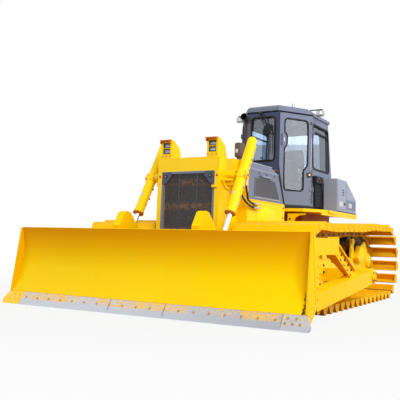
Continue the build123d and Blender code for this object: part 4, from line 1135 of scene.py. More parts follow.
@dataclass
class Blade:
    """Small pieces of the blade and its arms."""

    edge_foot: Flat = (station(0.086), 0.155)
    slope: float = 60.0
    edge_half: float = 1.777
    half: float = 2.03
    pivot: Flat = (station(2.4), 0.43)
    arm_out: float = 1.99

    def build(self) -> None:
        """Builds the blade's pieces."""
        self.edge_bolts()
        self.stiffeners()
        self.arm_ends()
        self.brace_bolts()

    def on_edge(self, points: Iterable[Flat]) -> list[Matrix]:
        """Frames on the cutting edge's face.

        Args:
            points: each an x and a distance down the slope.

        Returns:
            The frames.
        """
        down = Vector((0, -math.cos(math.radians(self.slope)), -math.sin(math.radians(self.slope))))
        out = (0, -math.sin(math.radians(self.slope)), math.cos(math.radians(self.slope)))
        start = Vector((0, *self.edge_foot))
        return rows([tuple(start + down * low + Vector((x, 0, 0))) for x, low in points], (1, 0, 0), out)

    def edge_bolts(self) -> None:
        """Sunk plough bolts of the cutting edge and the end bits."""
        head = Shape.drum(0.017, -0.002, 0.0025, 12, far=0.014)
        line = [(x, 0.072) for x in spaced(-self.edge_half + 0.07, self.edge_half - 0.07, 19)]
        bits = [(1.835, 0.045), (1.925, 0.045), (1.815, 0.1), (1.895, 0.1), (1.975, 0.1)]
        Piece("plough_bolts", RUST_BOLT, Body.BLADE).add(head, self.on_edge(line + bits)).finished()
        painted = self.on_edge([(-x, low) for x, low in bits])
        Piece("painted_plough_bolts", YELLOW_BOLT, Body.BLADE).add(head, painted).finished()
        gap = Shape.block(0.002, 0.066, (-0.001, 0.0012))
        places = self.on_edge([(x, 0.07) for x in (-0.38, 0.38, self.edge_half)])
        Piece("edge_joints", DARK_BOLT, Body.BLADE).add(gap, places).finished()

    def stiffeners(self) -> None:
        """Lip along the top of the blade, its end welds and the bolts of the end plates."""
        lip = Piece("blade_top_lip", BLADE_YELLOW, Body.BLADE)
        lip.add(Shape.block((-self.half + 0.02, self.half - 0.02), (station(0.184), station(0.204)),
                            (0.945, 0.957), 0.004, 2))
        for start, end in (((0.29, 0.25), (0.19, 0.95)), ((0.12, 0.225), (0.37, 0.225))):
            ends = [(self.half + 0.001, station(behind), z) for behind, z in (start, end)]
            lip.pair(Shape.rod(*ends, 0.004, 8))
        lip.finished()
        places = outwards([(self.half, station(0.34), z) for z in spaced(0.3, 0.72, 5)])
        Piece("blade_end_bolts", YELLOW_BOLT, Body.BLADE).pair(Shape.bolt(0.026, 0.012), places).finished()

    def arm_ends(self) -> None:
        """Pin caps of the push arms and their bolts."""
        y, z = self.pivot
        place = frame_at((self.arm_out, y, z), (0, 1, 0), (1, 0, 0))
        caps = Piece("arm_pin_caps", BLADE_YELLOW, Body.BLADE)
        caps.pair(Shape.drum(0.088, -0.002, 0.012, 32, bevel=0.003), place)
        caps.pair(Shape.drum(0.05, 0.012, 0.022, 24, far=0.044), place).finished()
        places = outwards([(self.arm_out + 0.012, y + along, z + up) for along, up in circle(0.068, 4, 45)])
        Piece("arm_pin_bolts", DARK_BOLT, Body.BLADE).pair(Shape.bolt(0.022, 0.01), places).finished()

    def brace_bolts(self) -> None:
        """Flange, gusset and bolt rows of the diagonal braces."""
        start, end = Vector((1.9, station(1.13), 0.8)), Vector((1.9, station(1.84), 0.44))
        run = (end - start).normalized()
        across = Vector((0, -run.z, run.y))
        flange = Piece("brace_flanges", BLADE_YELLOW, Body.BLADE)
        strip = Shape.block((0.0, (end - start).length - 0.06), 0.012, (0.0, 0.03), 0.004)
        for side in (-0.075, 0.075):
            flange.pair(strip, frame_at(start + across * side + run * 0.03, run, (1, 0, 0)))
        flange.pair(Shape.block((1.8, 1.934), (station(1.19), station(1.215)), (0.7, 0.92), 0.005))
        flange.pair(Shape.block((1.795, 1.936), (station(0.34), station(0.36)), (0.69, 0.93), 0.005))
        flange.finished()
        spots = [start + run * along + across * side + Vector((0.002, 0, 0))
                 for side in (-0.035, 0.035) for along in spaced(0.12, 0.66, 5)]
        places = rows(spots, run, (1, 0, 0))
        Piece("brace_bolts", DARK_BOLT, Body.BLADE).pair(Shape.bolt(0.024), places).finished()


@dataclass
class Hoses:
    """Oil hoses from the brackets at the lift cylinders back to their unions on the side covers."""

    bore: float = 0.026
    routes: tuple[tuple[str, float, tuple[Point, ...]], ...] = (
        # name, length, points from the left port to its union, their second number behind the cutting edge
        ("upper", 0.47, ((0.66, 1.283, 1.597), (0.66, 1.283, 1.519), (0.662, 1.314, 1.445),
                         (0.632, 1.381, 1.378), (0.64, 1.484, 1.335), (0.64, 1.59, 1.335))),
        ("lower", 0.546, ((0.6, 1.24, 1.597), (0.6, 1.24, 1.507), (0.602, 1.279, 1.41),
                          (0.632, 1.357, 1.332), (0.64, 1.473, 1.285), (0.64, 1.59, 1.285))),
    )

    def build(self) -> None:
        """Builds the hoses and their ends."""
        for name, length, route in self.routes:
            points = [(x, station(behind), z) for x, behind, z in route]
            for side in Side:
                self.hose(name, side, points)
        self.ends()

    def hose(self, name: str, side: Side, points: Sequence[Point]) -> None:
        """One hose on a smooth line through its route's points.

        Args:
            name: which hose.
            side: which side of the machine.
            points: its route on the left side.
        """
        whole = f"hose_{name}_{side.word}"
        run = [(side.value * x, y, z) for x, y, z in points]
        made = piped(f"{whole}_skin", "NURBS", run, self.bore / 2)
        made.data.splines[0].order_u = 3
        made.data.splines[0].use_endpoint_u = True
        settle(made, HOSE, Body.CHASSIS, [whole])

    def ends(self) -> None:
        """Crimped sleeves and nuts where the hoses meet their ports and unions."""
        sleeves = Piece("hose_sleeves", ZINC)
        profile = ((0.0135, -0.05), (0.017, -0.048), (0.0175, -0.004), (0.021, -0.002), (0.021, 0.0),
                   (0.0135, 0.0), (0.0135, -0.05))
        sleeve = Shape.turned(profile, 16)
        nut = Shape.drum(0.0225, 0.0, 0.03, 6, bevel=0.002)
        tail = Shape.drum(0.0205, 0.03, 0.1, 16, bevel=0.002)
        for _, _, route in self.routes:
            (x, behind, z), (far_x, far_behind, far_z) = route[0], route[-1]
            port = frame_at((x, station(behind), z), (1, 0, 0), (0, 0, 1))
            union = frame_at((far_x, station(far_behind), far_z), (1, 0, 0), (0, 1, 0))
            sleeves.pair(sleeve, [port, union]).pair(nut, [port, union]).pair(tail, union)
        sleeves.finished()


@dataclass
class LiftCylinder:
    """One lift cylinder: barrel with its cap, collar, gland, ports and pipe, and the polished rod."""

    side: Side
    trunnion: Flat = (station(1.105), 1.66)
    eye: Flat = (station(0.425), 0.35)
    x: float = 0.69
    pipe_radius: float = 0.011

    def build(self) -> None:
        """Builds the barrel and the rod."""
        self.barrel()
        self.pipe()
        self.rod()

    def body(self, part: str = "cylinder") -> Body:
        """The body of this side's cylinder or piston."""
        return Body(f"lift_{part}_{self.side.word}")

    def piece(self, stem: str, finish: Finish, part: str = "cylinder") -> Piece:
        """Starts a piece that rides on this side's cylinder or piston."""
        return Piece(f"{stem}_{self.side.word}", finish, self.body(part))

    @property
    def length(self) -> float:
        """Distance from the trunnion to the eye."""
        return math.dist(self.trunnion, self.eye)

    @property
    def place(self) -> Matrix:
        """Frame at the trunnion: Z down the rod, X to the machine's left, Y to the front."""
        down = Vector((0, self.eye[0] - self.trunnion[0], self.eye[1] - self.trunnion[1]))
        return frame_at((self.side.value * self.x, *self.trunnion), (1, 0, 0), down)

    @property
    def back(self) -> Matrix:
        """The same frame with Y to the back, moved outwards past the hoses' bracket."""
        return self.place @ by(self.side.value * 0.012, 0, 0) @ Matrix.Rotation(math.pi, 4, "Z")

    def barrel(self) -> None:
        """Barrel with its domed cap, collar, ports and gland."""
        inner = -self.side.value
        tube = ((0.0, -0.58), (0.016, -0.579), (0.032, -0.574), (0.045, -0.564), (0.054, -0.549),
                (0.0592, -0.53), (0.06, -0.512), (0.06, -0.062), (0.068, -0.056), (0.072, -0.045),
                (0.072, 0.045), (0.068, 0.056), (0.06, 0.062), (0.06, 0.5), (0.066, 0.504), (0.068, 0.51),
                (0.068, 0.546), (0.065, 0.552), (0.06, 0.556), (0.0305, 0.556), (0.0305, 0.5), (0.0, 0.5))
        barrel = self.piece("barrel", YELLOW).add(Shape.turned(tube, 40), self.place)
        for pin, out in ((Shape.drum(0.03, 0.066, 0.2055, 24), inner),
                         (Shape.drum(0.042, 0.06, 0.088, 28, bevel=0.004), -inner)):
            barrel.add(pin, self.place @ frame_at((0, 0, 0), (0, 0, 1), (out, 0, 0)))
        boss = Shape.block(0.024, (0.05, 0.088), (-0.505, -0.45), 0.008, 2)
        elbow = Shape.rod((0, 0.08, -0.478), (0, 0.094, -0.43), 0.017, 14)
        lower = Shape.block(0.022, (0.05, 0.082), (0.4, 0.452), 0.008, 2)
        saddle = Shape.block(0.03, (0.05, 0.08), (-0.24, -0.2), 0.008, 2)
        for shape in (boss, elbow, lower, saddle):
            barrel.add(shape, self.back)
        barrel.finished([f"lift_barrel_{self.side.word}"], 40)
        self.gland()
        at = self.place @ frame_at((0, 0.0594, 0.29), (0, 0, 1), (0, 1, 0))
        patch = Shape.block(0.02, 0.015, (-0.001, 0.0015), 0.0005)
        self.piece("barrel_patch", PATCH).add(patch, at).finished()

    def gland(self) -> None:
        """Notched gland ring and the bolts of the collar and pin."""
        ring = Shape.turned(((0.031, 0.54), (0.069, 0.54), (0.069, 0.5545), (0.058, 0.5565), (0.031, 0.5565),
                             (0.031, 0.54)), 40)
        self.piece("gland_ring", GLAND_OCHRE).add(ring, self.place).finished()
        notch = Shape.block((0.054, 0.0698), 0.005, (0.537, 0.5556), 0.001)
        turns = [self.place @ Matrix.Rotation(math.radians(30 * step), 4, "Z") for step in range(12)]
        self.piece("gland_notches", CAST_STEEL).add(notch, turns).finished()
        bolts = self.piece("collar_bolts", RUST_BOLT)
        for along in (-0.03, 0.03):
            for turn in (35, 145, 215, 325):
                out = Vector((*arc(1.0, [turn])[0], 0))
                spot = frame_at(out * 0.0715 + Vector((0, 0, along)), (0, 0, 1), out)
                bolts.add(Shape.bolt(0.016), self.place @ spot)
        face = Vector((self.side.value * 0.088, 0, 0))
        bolts.add(Shape.bolt(0.034, 0.012), self.place @ frame_at(face, (0, 0, 1), face)).finished()

    def pipe(self) -> None:
        """Steel oil pipe down the back of the barrel, with its clips and unions."""
        run = ((0, 0.094, -0.44), (0, 0.097, -0.4), (0, 0.096, -0.2), (0, 0.096, -0.02), (0, 0.09, 0.14),
               (0, 0.088, 0.3), (0, 0.08, 0.38), (0, 0.076, 0.41))
        places = [self.back @ Vector(place) for place in run]
        made = piped(f"oil_pipe_{self.side.word}", "POLY", places, self.pipe_radius)
        settle(made, YELLOW, self.body())
        clips = self.piece("pipe_clips", ZINC)
        for along in (-0.3, -0.13, 0.12, 0.27):
            clips.add(Shape.block(0.022, (0.056, 0.112), (along - 0.009, along + 0.009), 0.004), self.back)
        for low, high, out in ((-0.425, -0.39, 0.096), (0.35, 0.385, 0.082)):
            clips.add(Shape.drum(0.018, low, high, 6).moved(by(0, out, 0)), self.back)
        clips.finished()

    def rod(self) -> None:
        """Polished rod and its eye."""
        start = self.length - 1.262
        bar = Shape.drum(0.03, start + 0.05, self.length - 0.045, 40)
        piston = Shape.drum(0.045, start, start + 0.05, 40, bevel=0.004)
        polished = self.piece("polished_rod", CHROME, "piston").add(bar.joined(piston), self.place)
        polished.finished([f"lift_rod_{self.side.word}"], 40)
        eye = self.piece("rod_eye", YELLOW, "piston")
        centre = (self.side.value * self.x, *self.eye)
        eye.add(Shape.drum(0.055, -0.025, 0.025, 32, bevel=0.004), outwards([centre]))
        eye.add(Shape.drum(0.036, self.length - 0.12, self.length - 0.04, 24, far=0.04, bevel=0.004),
                self.place)
        eye.finished()


@dataclass
class Tracks:
    """Both tracks: shoes on their chains, with the wheels' caps and the frames' bolts."""

    x: float = 1.15
    width: float = 1.1
    pitch: float = 0.203
    pin_line: float = 0.154
    idler: Flat = (station(1.322), 0.4)
    span: float = 2.935
    sprocket_radius: float = 0.44
    carriers: tuple[Flat, ...] = ((0.978, 0.958), (2.178, 1.018))
    sag: float = 0.016

    def build(self) -> None:
        """Builds the tracks and what is bolted to the wheels and frames."""
        self.loops()
        self.wheel_caps()
        self.frame_details()

    def path(self) -> list[Flat]:
        """Pins of the left chain, evenly spaced round the wheels and rollers.

        Returns:
            Each pin's y and z.
        """
        y0, r0 = self.idler
        y1, r1 = y0 + self.span, self.sprocket_radius
        z0, z1 = self.pin_line + r0, self.pin_line + r1
        tops = [(y1, z1 + r1)] + [(y0 + y, z) for y, z in reversed(self.carriers)] + [(y0, z0 + r0)]
        line: list[Flat] = [(y0, self.pin_line)]
        line += [(y1 + y, z1 + z) for y, z in arc(r1, range(-90, 91, 3))]
        for start, end in zip(tops, tops[1:]):
            line.append(((start[0] + end[0]) / 2, (start[1] + end[1]) / 2 - self.sag))
            line.append(end)
        line += [(y0 + y, z0 + z) for y, z in arc(r0, range(93, 271, 3))]
        total = sum(math.dist(a, b) for a, b in zip(line, line[1:]))
        count = round(total / self.pitch)
        pins: list[Flat] = []
        done, index = 0.0, 0
        for step in range(count):
            goal = total * step / count
            while done + math.dist(line[index], line[index + 1]) < goal:
                done += math.dist(line[index], line[index + 1])
                index += 1
            share = (goal - done) / math.dist(line[index], line[index + 1])
            (ya, za), (yb, zb) = line[index], line[index + 1]
            pins.append((ya + share * (yb - ya), za + share * (zb - za)))
        return pins

    def links(self) -> list[Matrix]:
        """Frame of each link on the left side: X along the chain, Y outwards, Z across.

        Returns:
            The frames.
        """
        pins = self.path()
        frames = []
        for (ya, za), (yb, zb) in zip(pins, pins[1:] + pins[:1]):
            turn = math.atan2(zb - za, yb - ya)
            c, s = math.cos(turn), math.sin(turn)
            frames.append(Matrix(((0, 0, -1, self.x), (c, s, 0, (ya + yb) / 2), (s, -c, 0, (za + zb) / 2),
                                  (0, 0, 0, 1))))
        return frames

    def loops(self) -> None:
        """Shoes, links and pins of both chains."""
        half = self.width / 2
        bar = ((-0.083, 0.05), (-0.083, 0.066), (-0.032, 0.15), (-0.026, 0.154), (0.026, 0.154),
               (0.032, 0.15), (0.083, 0.066), (0.083, 0.05), (0.066, 0.05), (0.02, 0.126), (-0.02, 0.126),
               (-0.066, 0.05))
        lip = ((-0.08, 0.051), (-0.08, 0.066), (-0.029, 0.15), (0.029, 0.15), (0.08, 0.066), (0.08, 0.051))
        shoe = Shape.slab(bar, self.width).moved(by(0, 0, -half))
        for low in (-half + 0.004, half - 0.018):
            shoe.joined(Shape.slab(lip, 0.014).moved(by(0, 0, low)))
        shoe.joined(Shape.block(0.088, (0.045, 0.07), 0.13))
        plate = ((-0.13, -0.02), (-0.112, -0.042), (-0.03, -0.05), (0.03, -0.05), (0.112, -0.042),
                 (0.13, -0.02), (0.13, 0.02), (0.09, 0.05), (-0.09, 0.05), (-0.13, 0.02))
        bush = Shape.drum(0.03, -0.05, 0.05, 10).moved(by(-self.pitch / 2, 0, 0))
        pin = Shape.drum(0.02, -0.104, 0.104, 10).moved(by(-self.pitch / 2, 0, 0))
        frames = self.links()
        for side in Side:
            turned = [matrix if side is Side.LEFT else MIRROR @ matrix for matrix in frames]
            Piece(f"shoes_{side.word}", TRACK_YELLOW).add(shoe, turned).finished([f"track_{side.word}"], 30)
            links = Piece(f"chain_{side.word}", LINK_YELLOW)
            for index, low in enumerate((0.05, 0.066)):
                one = Shape.slab(plate, 0.028).moved(by(0, 0, low))
                one.joined(Shape.slab(plate, 0.028).moved(by(0, 0, -low - 0.028)))
                links.add(one, turned[index::2])
            links.finished(smooth=30)
            Piece(f"chain_pins_{side.word}", CAST_STEEL).add(bush.joined(pin), turned).finished()

    def wheel_caps(self) -> None:
        """Bolts and covers on the wheels' hubs."""
        y0, y1 = self.idler[0], self.idler[0] + self.span
        z0, z1 = self.pin_line + self.idler[1], self.pin_line + self.sprocket_radius
        hub = frame_at((self.x + 0.19, y1, z1), (0, 1, 0), (1, 0, 0))
        cap = Shape.turned(((0.0, 0.03), (0.06, 0.028), (0.1, 0.016), (0.108, 0.0), (0.0, 0.0)), 32)
        Piece("hub_caps", FRAME_YELLOW).pair(cap, hub).finished()
        bolts = Piece("hub_bolts", DARK_BOLT)
        table = (
            # centre y, z, face x, bolt circle, count, size
            (y1, z1, self.x + 0.14, 0.165, 16, 0.028),
            (y1, z1, self.x + 0.05, 0.255, 18, 0.03),
            (y0, z0, self.x + 0.125, 0.085, 8, 0.024),
        )
        for y, z, x, radius, count, size in table:
            ring = [(x, y + along, z + up) for along, up in circle(radius, count)]
            bolts.pair(Shape.bolt(size), outwards(ring))
        bolts.finished()

    def frame_details(self) -> None:
        """Roller guards, spring cover, brackets and bolts on the track frames."""
        out = self.x + 0.17
        y0 = self.idler[0]
        details = Piece("track_frame_covers", FRAME_YELLOW)
        guard = ((0.46, 0.275), (0.5, 0.335), (2.42, 0.335), (2.46, 0.275))
        cover = ((2.22, 0.64), (2.36, 0.83), (2.58, 0.76), (2.62, 0.6), (2.3, 0.56))
        hatch = ((0.62, 0.44), (0.62, 0.58), (0.98, 0.58), (0.98, 0.44))
        for shape in (Shape.slab(guard, 0.018, 0.004), Shape.slab(cover, 0.09, 0.012, 2),
                      Shape.slab(hatch, 0.012, 0.004)):
            details.pair(shape, side_on(out, y0))
        for along, _ in self.carriers:
            gusset = ((-0.075, 0.63), (-0.03, 0.78), (0.03, 0.78), (0.11, 0.63))
            details.pair(Shape.slab(gusset, 0.014, 0.003), side_on(out, y0 + along))
            cap = Shape.drum(0.05, -0.001, 0.024, 24, bevel=0.004)
            details.pair(cap, outwards([(out, y0 + along, 0.83 + 0.06 * (along > 1.5))]))
        details.finished()
        places = [(out + 0.018, y, 0.305) for y in spaced(y0 + 0.56, y0 + 2.38, 15)]
        places += [(out + 0.012, y0 + along, z) for along in (0.645, 0.955) for z in (0.465, 0.555)]
        places += [(out + 0.001, y0 + along, 0.6) for along in spaced(1.3, 2.05, 6)]
        Piece("track_frame_bolts", DARK_BOLT).pair(Shape.bolt(0.028), outwards(places)).finished()


@dataclass
class Nose:
    """Front guard with the grille and headlamps."""

    front: float = station(0.942)
    half: float = 0.464
    top: float = 1.886
    window: tuple[float, float, float] = (0.4, 0.76, 1.71)
    cell: float = 0.0185

    def build(self) -> None:
        """Builds the grille and the guard's small pieces."""
        self.mesh_panel()
        self.corner_plates()
        self.guard_trim()
        self.lamps()

    @property
    def face(self) -> Matrix:
        """Frame on the guard's front: X to the left side, Y up, Z forwards."""
        return frame_at((0, self.front, 0), (1, 0, 0), (0, -1, 0))

    def mesh_panel(self) -> None:
        """Expanded mesh in a flat rim, standing for the grille."""
        half, low, high = self.window
        rim = 0.03
        size = 1.0
        count = round(2 * size / self.cell)
        mesh = Shape()
        bmesh.ops.create_grid(mesh.mesh, x_segments=count, y_segments=count, size=size)
        mesh.moved(Matrix.Diagonal((1.25, 0.8, 1, 1)) @ Matrix.Rotation(math.radians(45), 4, "Z"))
        limits = (((half - rim, 0, 0), (1, 0, 0)), ((rim - half, 0, 0), (-1, 0, 0)),
                  ((0, (high - low) / 2 - rim, 0), (0, 1, 0)), ((0, rim - (high - low) / 2, 0), (0, -1, 0)))
        for place, normal in limits:
            everything = mesh.mesh.verts[:] + mesh.mesh.edges[:] + mesh.mesh.faces[:]
            bmesh.ops.bisect_plane(mesh.mesh, geom=everything, plane_co=place, plane_no=normal,
                                   clear_outer=True)
        bmesh.ops.wireframe(mesh.mesh, faces=mesh.mesh.faces[:], thickness=0.0042, use_boundary=True,
                            use_even_offset=True, use_replace=True)
        middle = by(0, (low + high) / 2, -0.012)
        Piece("grille_mesh", MESH_STEEL).add(mesh, self.face @ middle).finished(["grille"])
        outline = ((-half, low), (half, low), (half, high), (-half, high))
        border = Shape.ring(outline, rim, 0.02, 0.003)
        Piece("grille_rim", GREY).add(border, self.face @ by(0, 0, -0.016)).finished()
        bars = Piece("grille_bars", DARK_GREY)
        for x in (-0.135, 0.135):
            bar = Shape.block((x - 0.006, x + 0.006), (low + rim, high - rim), (-0.018, -0.006), 0.001)
            bars.add(bar, self.face)
        bars.finished()

    def corner_plates(self) -> None:
        """Grey plates with lifting holes at the grille's corners, and the hole's fittings."""
        half, _, high = self.window
        outline = ((half - 0.005, high - 0.005), (half - 0.15, high - 0.005), (half - 0.15, high - 0.06),
                   (half - 0.06, high - 0.16), (half - 0.005, high - 0.16))
        hole = self.face @ by(half - 0.062, high - 0.065, 0)
        for name, finish, shape, place in (
            ("grille_corners", DARK_GREY, Shape.slab(outline, 0.01, 0.002), self.face @ by(0, 0, -0.003)),
            ("grille_corner_holes", PLASTIC, Shape.drum(0.028, 0.006, 0.012, 20), hole),
            ("grille_corner_studs", BRASS, Shape.drum(0.009, 0.01, 0.02, 12, far=0.006), hole),
        ):
            Piece(name, finish).pair(shape, place).finished()

    def guard_trim(self) -> None:
        """Red plugs, a latch tab, the seam on the guard's top and bolts down its sides."""
        half, _, high = self.window
        plug = Shape.drum(0.013, -0.001, 0.008, 16, bevel=0.002)
        Piece("guard_plugs", RED).pair(plug, self.face @ by(half + 0.032, high - 0.06, 0)).finished()
        trim = Piece("guard_trim", YELLOW)
        trim.add(Shape.block((0.37, 0.44), (1.495, 1.525), (-0.002, 0.03), 0.004), self.face)
        trim.add(Shape.block(0.1, 0.004, (0, 0.008), 0.002), by(0, self.front + 0.03, self.top))
        trim.add(Shape.block((-self.half + 0.03, self.half - 0.03), (self.front + 0.32, self.front + 0.345),
                             (self.top - 0.001, self.top + 0.006), 0.002))
        edge = ((self.half - 0.001, self.half + 0.006), (self.front + 0.3, self.front + 0.36), (0.95, 1.85))
        trim.pair(Shape.block(*edge, 0.002)).finished()
        bolts = Piece("guard_bolts", YELLOW_BOLT)
        side = outwards([(self.half + 0.006, self.front + 0.33, z) for z in spaced(1.0, 1.8, 6)])
        lid = rows([(x, self.front + 0.3, self.top) for x in spaced(-0.38, 0.38, 5)], (1, 0, 0), (0, 0, 1))
        bolts.pair(Shape.bolt(0.022, 0.01), side).add(Shape.bolt(0.022, 0.01), lid)
        yoke = outwards([(0.484, station(1.105) + y, z) for y in (0.03, 0.11) for z in (1.53, 1.57)])
        bolts.pair(Shape.bolt(0.024), yoke).finished()

    def lamps(self) -> None:
        """Dark surround, lens shells, the painted shade under the visors and rivets of the headlamps."""
        front, top = self.front, self.top
        lining = Piece("headlamp_linings", PLASTIC)
        shells = Piece("headlamp_shells", LAMP_SHELL)
        for low in (top + 0.062, top + 0.136):
            outline = ((0.294, low), (0.406, low), (0.406, low + 0.066), (0.294, low + 0.066))
            lining.pair(Shape.ring(outline, 0.015, 0.018, 0.003), self.face @ by(0, 0, -0.028))
            shell = Shape.ring(outline, 0.006, 0.006, 0.002, rounding=0.008, grow=-0.014)
            shells.pair(shell, self.face @ by(0, 0, -0.021))
        lining.finished()
        shells.finished()
        rims = Piece("headlamp_rims", LAMP_YELLOW)
        rims.pair(Shape.block((0.292, 0.408), (front + 0.004, front + 0.058), (top + 0.128, top + 0.136)))
        for x in (0.274, 0.42):
            rims.pair(Shape.block((x, x + 0.006), (front - 0.044, front + 0.004), (top + 0.19, top + 0.24),
                                  0.001))
        rims.finished()
        # painted shade: an orange plate under each visor's top
        under = Shape.block((0.281, 0.419), (front - 0.042, front + 0.004), (top + 0.224, top + 0.229))
        Piece("visor_shades", VISOR_SHADE).pair(under).finished()
        places = rows([(x, front, top + 0.03) for x in (0.29, 0.35, 0.41)], (1, 0, 0), (0, -1, 0))
        Piece("headlamp_rivets", DARK_BOLT).pair(Shape.drum(0.006, -0.001, 0.004, 10), places).finished()


@dataclass
class Covers:
    """Details of the hood, the boxes beside it, the exhaust and the intake."""

    half: float = 0.464
    out: float = 0.6
    front: float = station(1.45)
    slope: float = 0.25
    rear: float = station(2.56)
    top: float = 1.906
    seam: float = 1.395
    band: tuple[Flat, Flat] = ((0.6, 1.8), (0.504, 1.91))

    def build(self) -> None:
        """Builds the covers' small pieces."""
        self.side_bodies()
        self.vents()
        self.box_trim()
        self.hood()
        self.pipes()

    @property
    def slant(self) -> Matrix:
        """Frame on the grey box's slanted band: X to the rear, Y up the band, Z outwards."""
        (x0, z0), (x1, z1) = self.band
        return frame_at((x0, self.front, z0), (0, 1, 0), (z1 - z0, 0, x0 - x1))

    @property
    def side(self) -> Matrix:
        """Frame on the left box's face: X to the rear from its front, Y up from the ground."""
        return side_on(self.out, self.front)

    def side_bodies(self) -> None:
        """Soft raised panel and bolts on the yellow lower boxes."""
        panel = Piece("side_body_panels", YELLOW)
        outline = ((0.24, 1.04), (0.24, 1.22), (0.5, 1.33), (0.78, 1.28), (0.92, 1.1), (0.94, 1.04))
        panel.pair(Shape.slab(outline, 0.006, 0.004, 2), self.side)
        panel.pair(Shape.block((self.out - 0.002, self.out + 0.008), (self.front, self.rear), (1.383, 1.396),
                               0.003))
        panel.finished()
        places = [(self.out + 0.001, self.rear - 0.05, z) for z in (1.06, 1.2, 1.34)]
        places += [(self.out + 0.001, y, 1.02) for y in spaced(self.front + 0.1, self.rear - 0.2, 4)]
        Piece("side_body_bolts", DARK_BOLT).pair(Shape.bolt(0.02), outwards(places)).finished()

    def vents(self) -> None:
        """Fine mesh vent with its pale rim, the front post, the handle and bolts on the grey boxes."""
        outline = ((0.17, 1.44), (0.17, 1.7), (0.76, 1.7), (0.93, 1.44))
        Piece("vent_mesh", VENT).pair(Shape.slab(outline, 0.004), self.side).finished()
        rims = Piece("vent_rims", GREY).pair(Shape.ring(outline, 0.012, 0.01, 0.003), self.side)
        post = Shape.block((0.0, 0.13), (self.seam + 0.004, 1.8), (-0.002, 0.006), 0.003)
        rims.pair(post, self.side).finished()
        ledge = Shape.block((0.15, 0.94), (1.425, 1.437), (0.0, 0.014), 0.003)
        Piece("vent_ledges", PALE_GREY).pair(ledge, self.side).finished()
        handle = Piece("vent_handles", LAMP_SHELL)
        profile = ((0.0, 0.006), (0.02, 0.012), (0.036, 0.03), (0.036, 0.28), (0.02, 0.298), (0.0, 0.304))
        places = [(self.out + depth, station(1.748) + along, 1.72) for depth, along in profile]
        for start, end in zip(places, places[1:]):
            handle.pair(Shape.rod(start, end, 0.0105))
        handle.finished()
        spots = [(self.out, y, 1.76) for y in spaced(self.front + 0.06, self.front + 0.74, 4)]
        Piece("vent_bolts", DARK_BOLT).pair(Shape.bolt(0.018), outwards(spots)).finished()

    def box_trim(self) -> None:
        """Painted highlight lines, bolts and black rear edge of the grey boxes' slanted bands, with painted
        shade in the gap behind them.
        """
        reach = self.rear - self.slope - self.front
        height = math.dist(*self.band)
        # painted highlight: pale strips along the slanted band's edges
        line = Piece("box_edge_highlights", PALE_GREY)
        line.pair(Shape.block((0.004, reach), (height - 0.009, height + 0.003), (-0.002, 0.006), 0.002),
                  self.slant)
        line.pair(Shape.block((0.004, reach + 0.05), (-0.004, 0.006), (-0.002, 0.004), 0.002), self.slant)
        line.finished()
        spots = [self.slant @ by(along, height / 2, 0) for along in spaced(0.1, reach - 0.16, 4)]
        Piece("box_bolts", ZINC).pair(Shape.bolt(0.016), spots).finished()
        stud = Shape.drum(0.014, -0.001, 0.012, 16, far=0.01)
        Piece("box_studs", BRASS).pair(stud, self.slant @ by(reach - 0.05, height / 2, 0)).finished()
        edge = Piece("box_rear_edges_and_gap_shade", SEAL)
        foot = Vector((self.out, self.rear, self.seam))
        (_, bend), (_, crest) = self.band
        head = Vector((self.out, self.rear - self.slope * (bend - self.seam) / (crest - self.seam), bend))
        run = head - foot
        strip = Shape.block((0.0, run.length), (-0.004, 0.03), (-0.002, 0.008), 0.003)
        edge.pair(strip, frame_at(foot, run, (1, 0, 0)))
        top = self.slant @ Vector((reach, height, 0))
        run = top - head
        edge.pair(Shape.block((0.0, run.length), (-0.004, 0.028), (-0.002, 0.006), 0.002),
                 frame_at(head, run, self.slant.col[2].xyz))
        # painted shade: a black sheet on the hood's side in the gap behind each box
        gap_shade = ((-self.slope, 1.903), (0.002, 1.903), (0.002, self.seam), (-0.03, self.seam))
        edge.pair(Shape.slab(gap_shade, 0.006, 0.001), side_on(self.half - 0.001, self.rear))
        edge.finished()

    def hood(self) -> None:
        """Panel seams, hinges and latches on the hood's top."""
        strips = Piece("hood_strips", YELLOW)
        y0, y1 = station(1.302), station(2.56)
        strips.add(Shape.block(0.012, (y0 + 0.02, y1 - 0.02), (self.top - 0.002, self.top + 0.008), 0.003))
        rib = Shape.block(0.44, 0.01, (self.top - 0.002, self.top + 0.005), 0.002)
        strips.add(rib, [by(0, y, 0) for y in (y0 + 0.05, (y0 + y1) / 2, y1 - 0.05)])
        strips.finished()
        spots = [(x, y, self.top) for x in (-0.3, 0.3) for y in (y0 + 0.2, y0 + 0.62, y1 - 0.2)]
        latch = Shape.block(0.03, 0.012, (0, 0.014), 0.003)
        Piece("hood_latches", DARK_BOLT).add(latch, rows(spots, (1, 0, 0), (0, 0, 1))).finished()

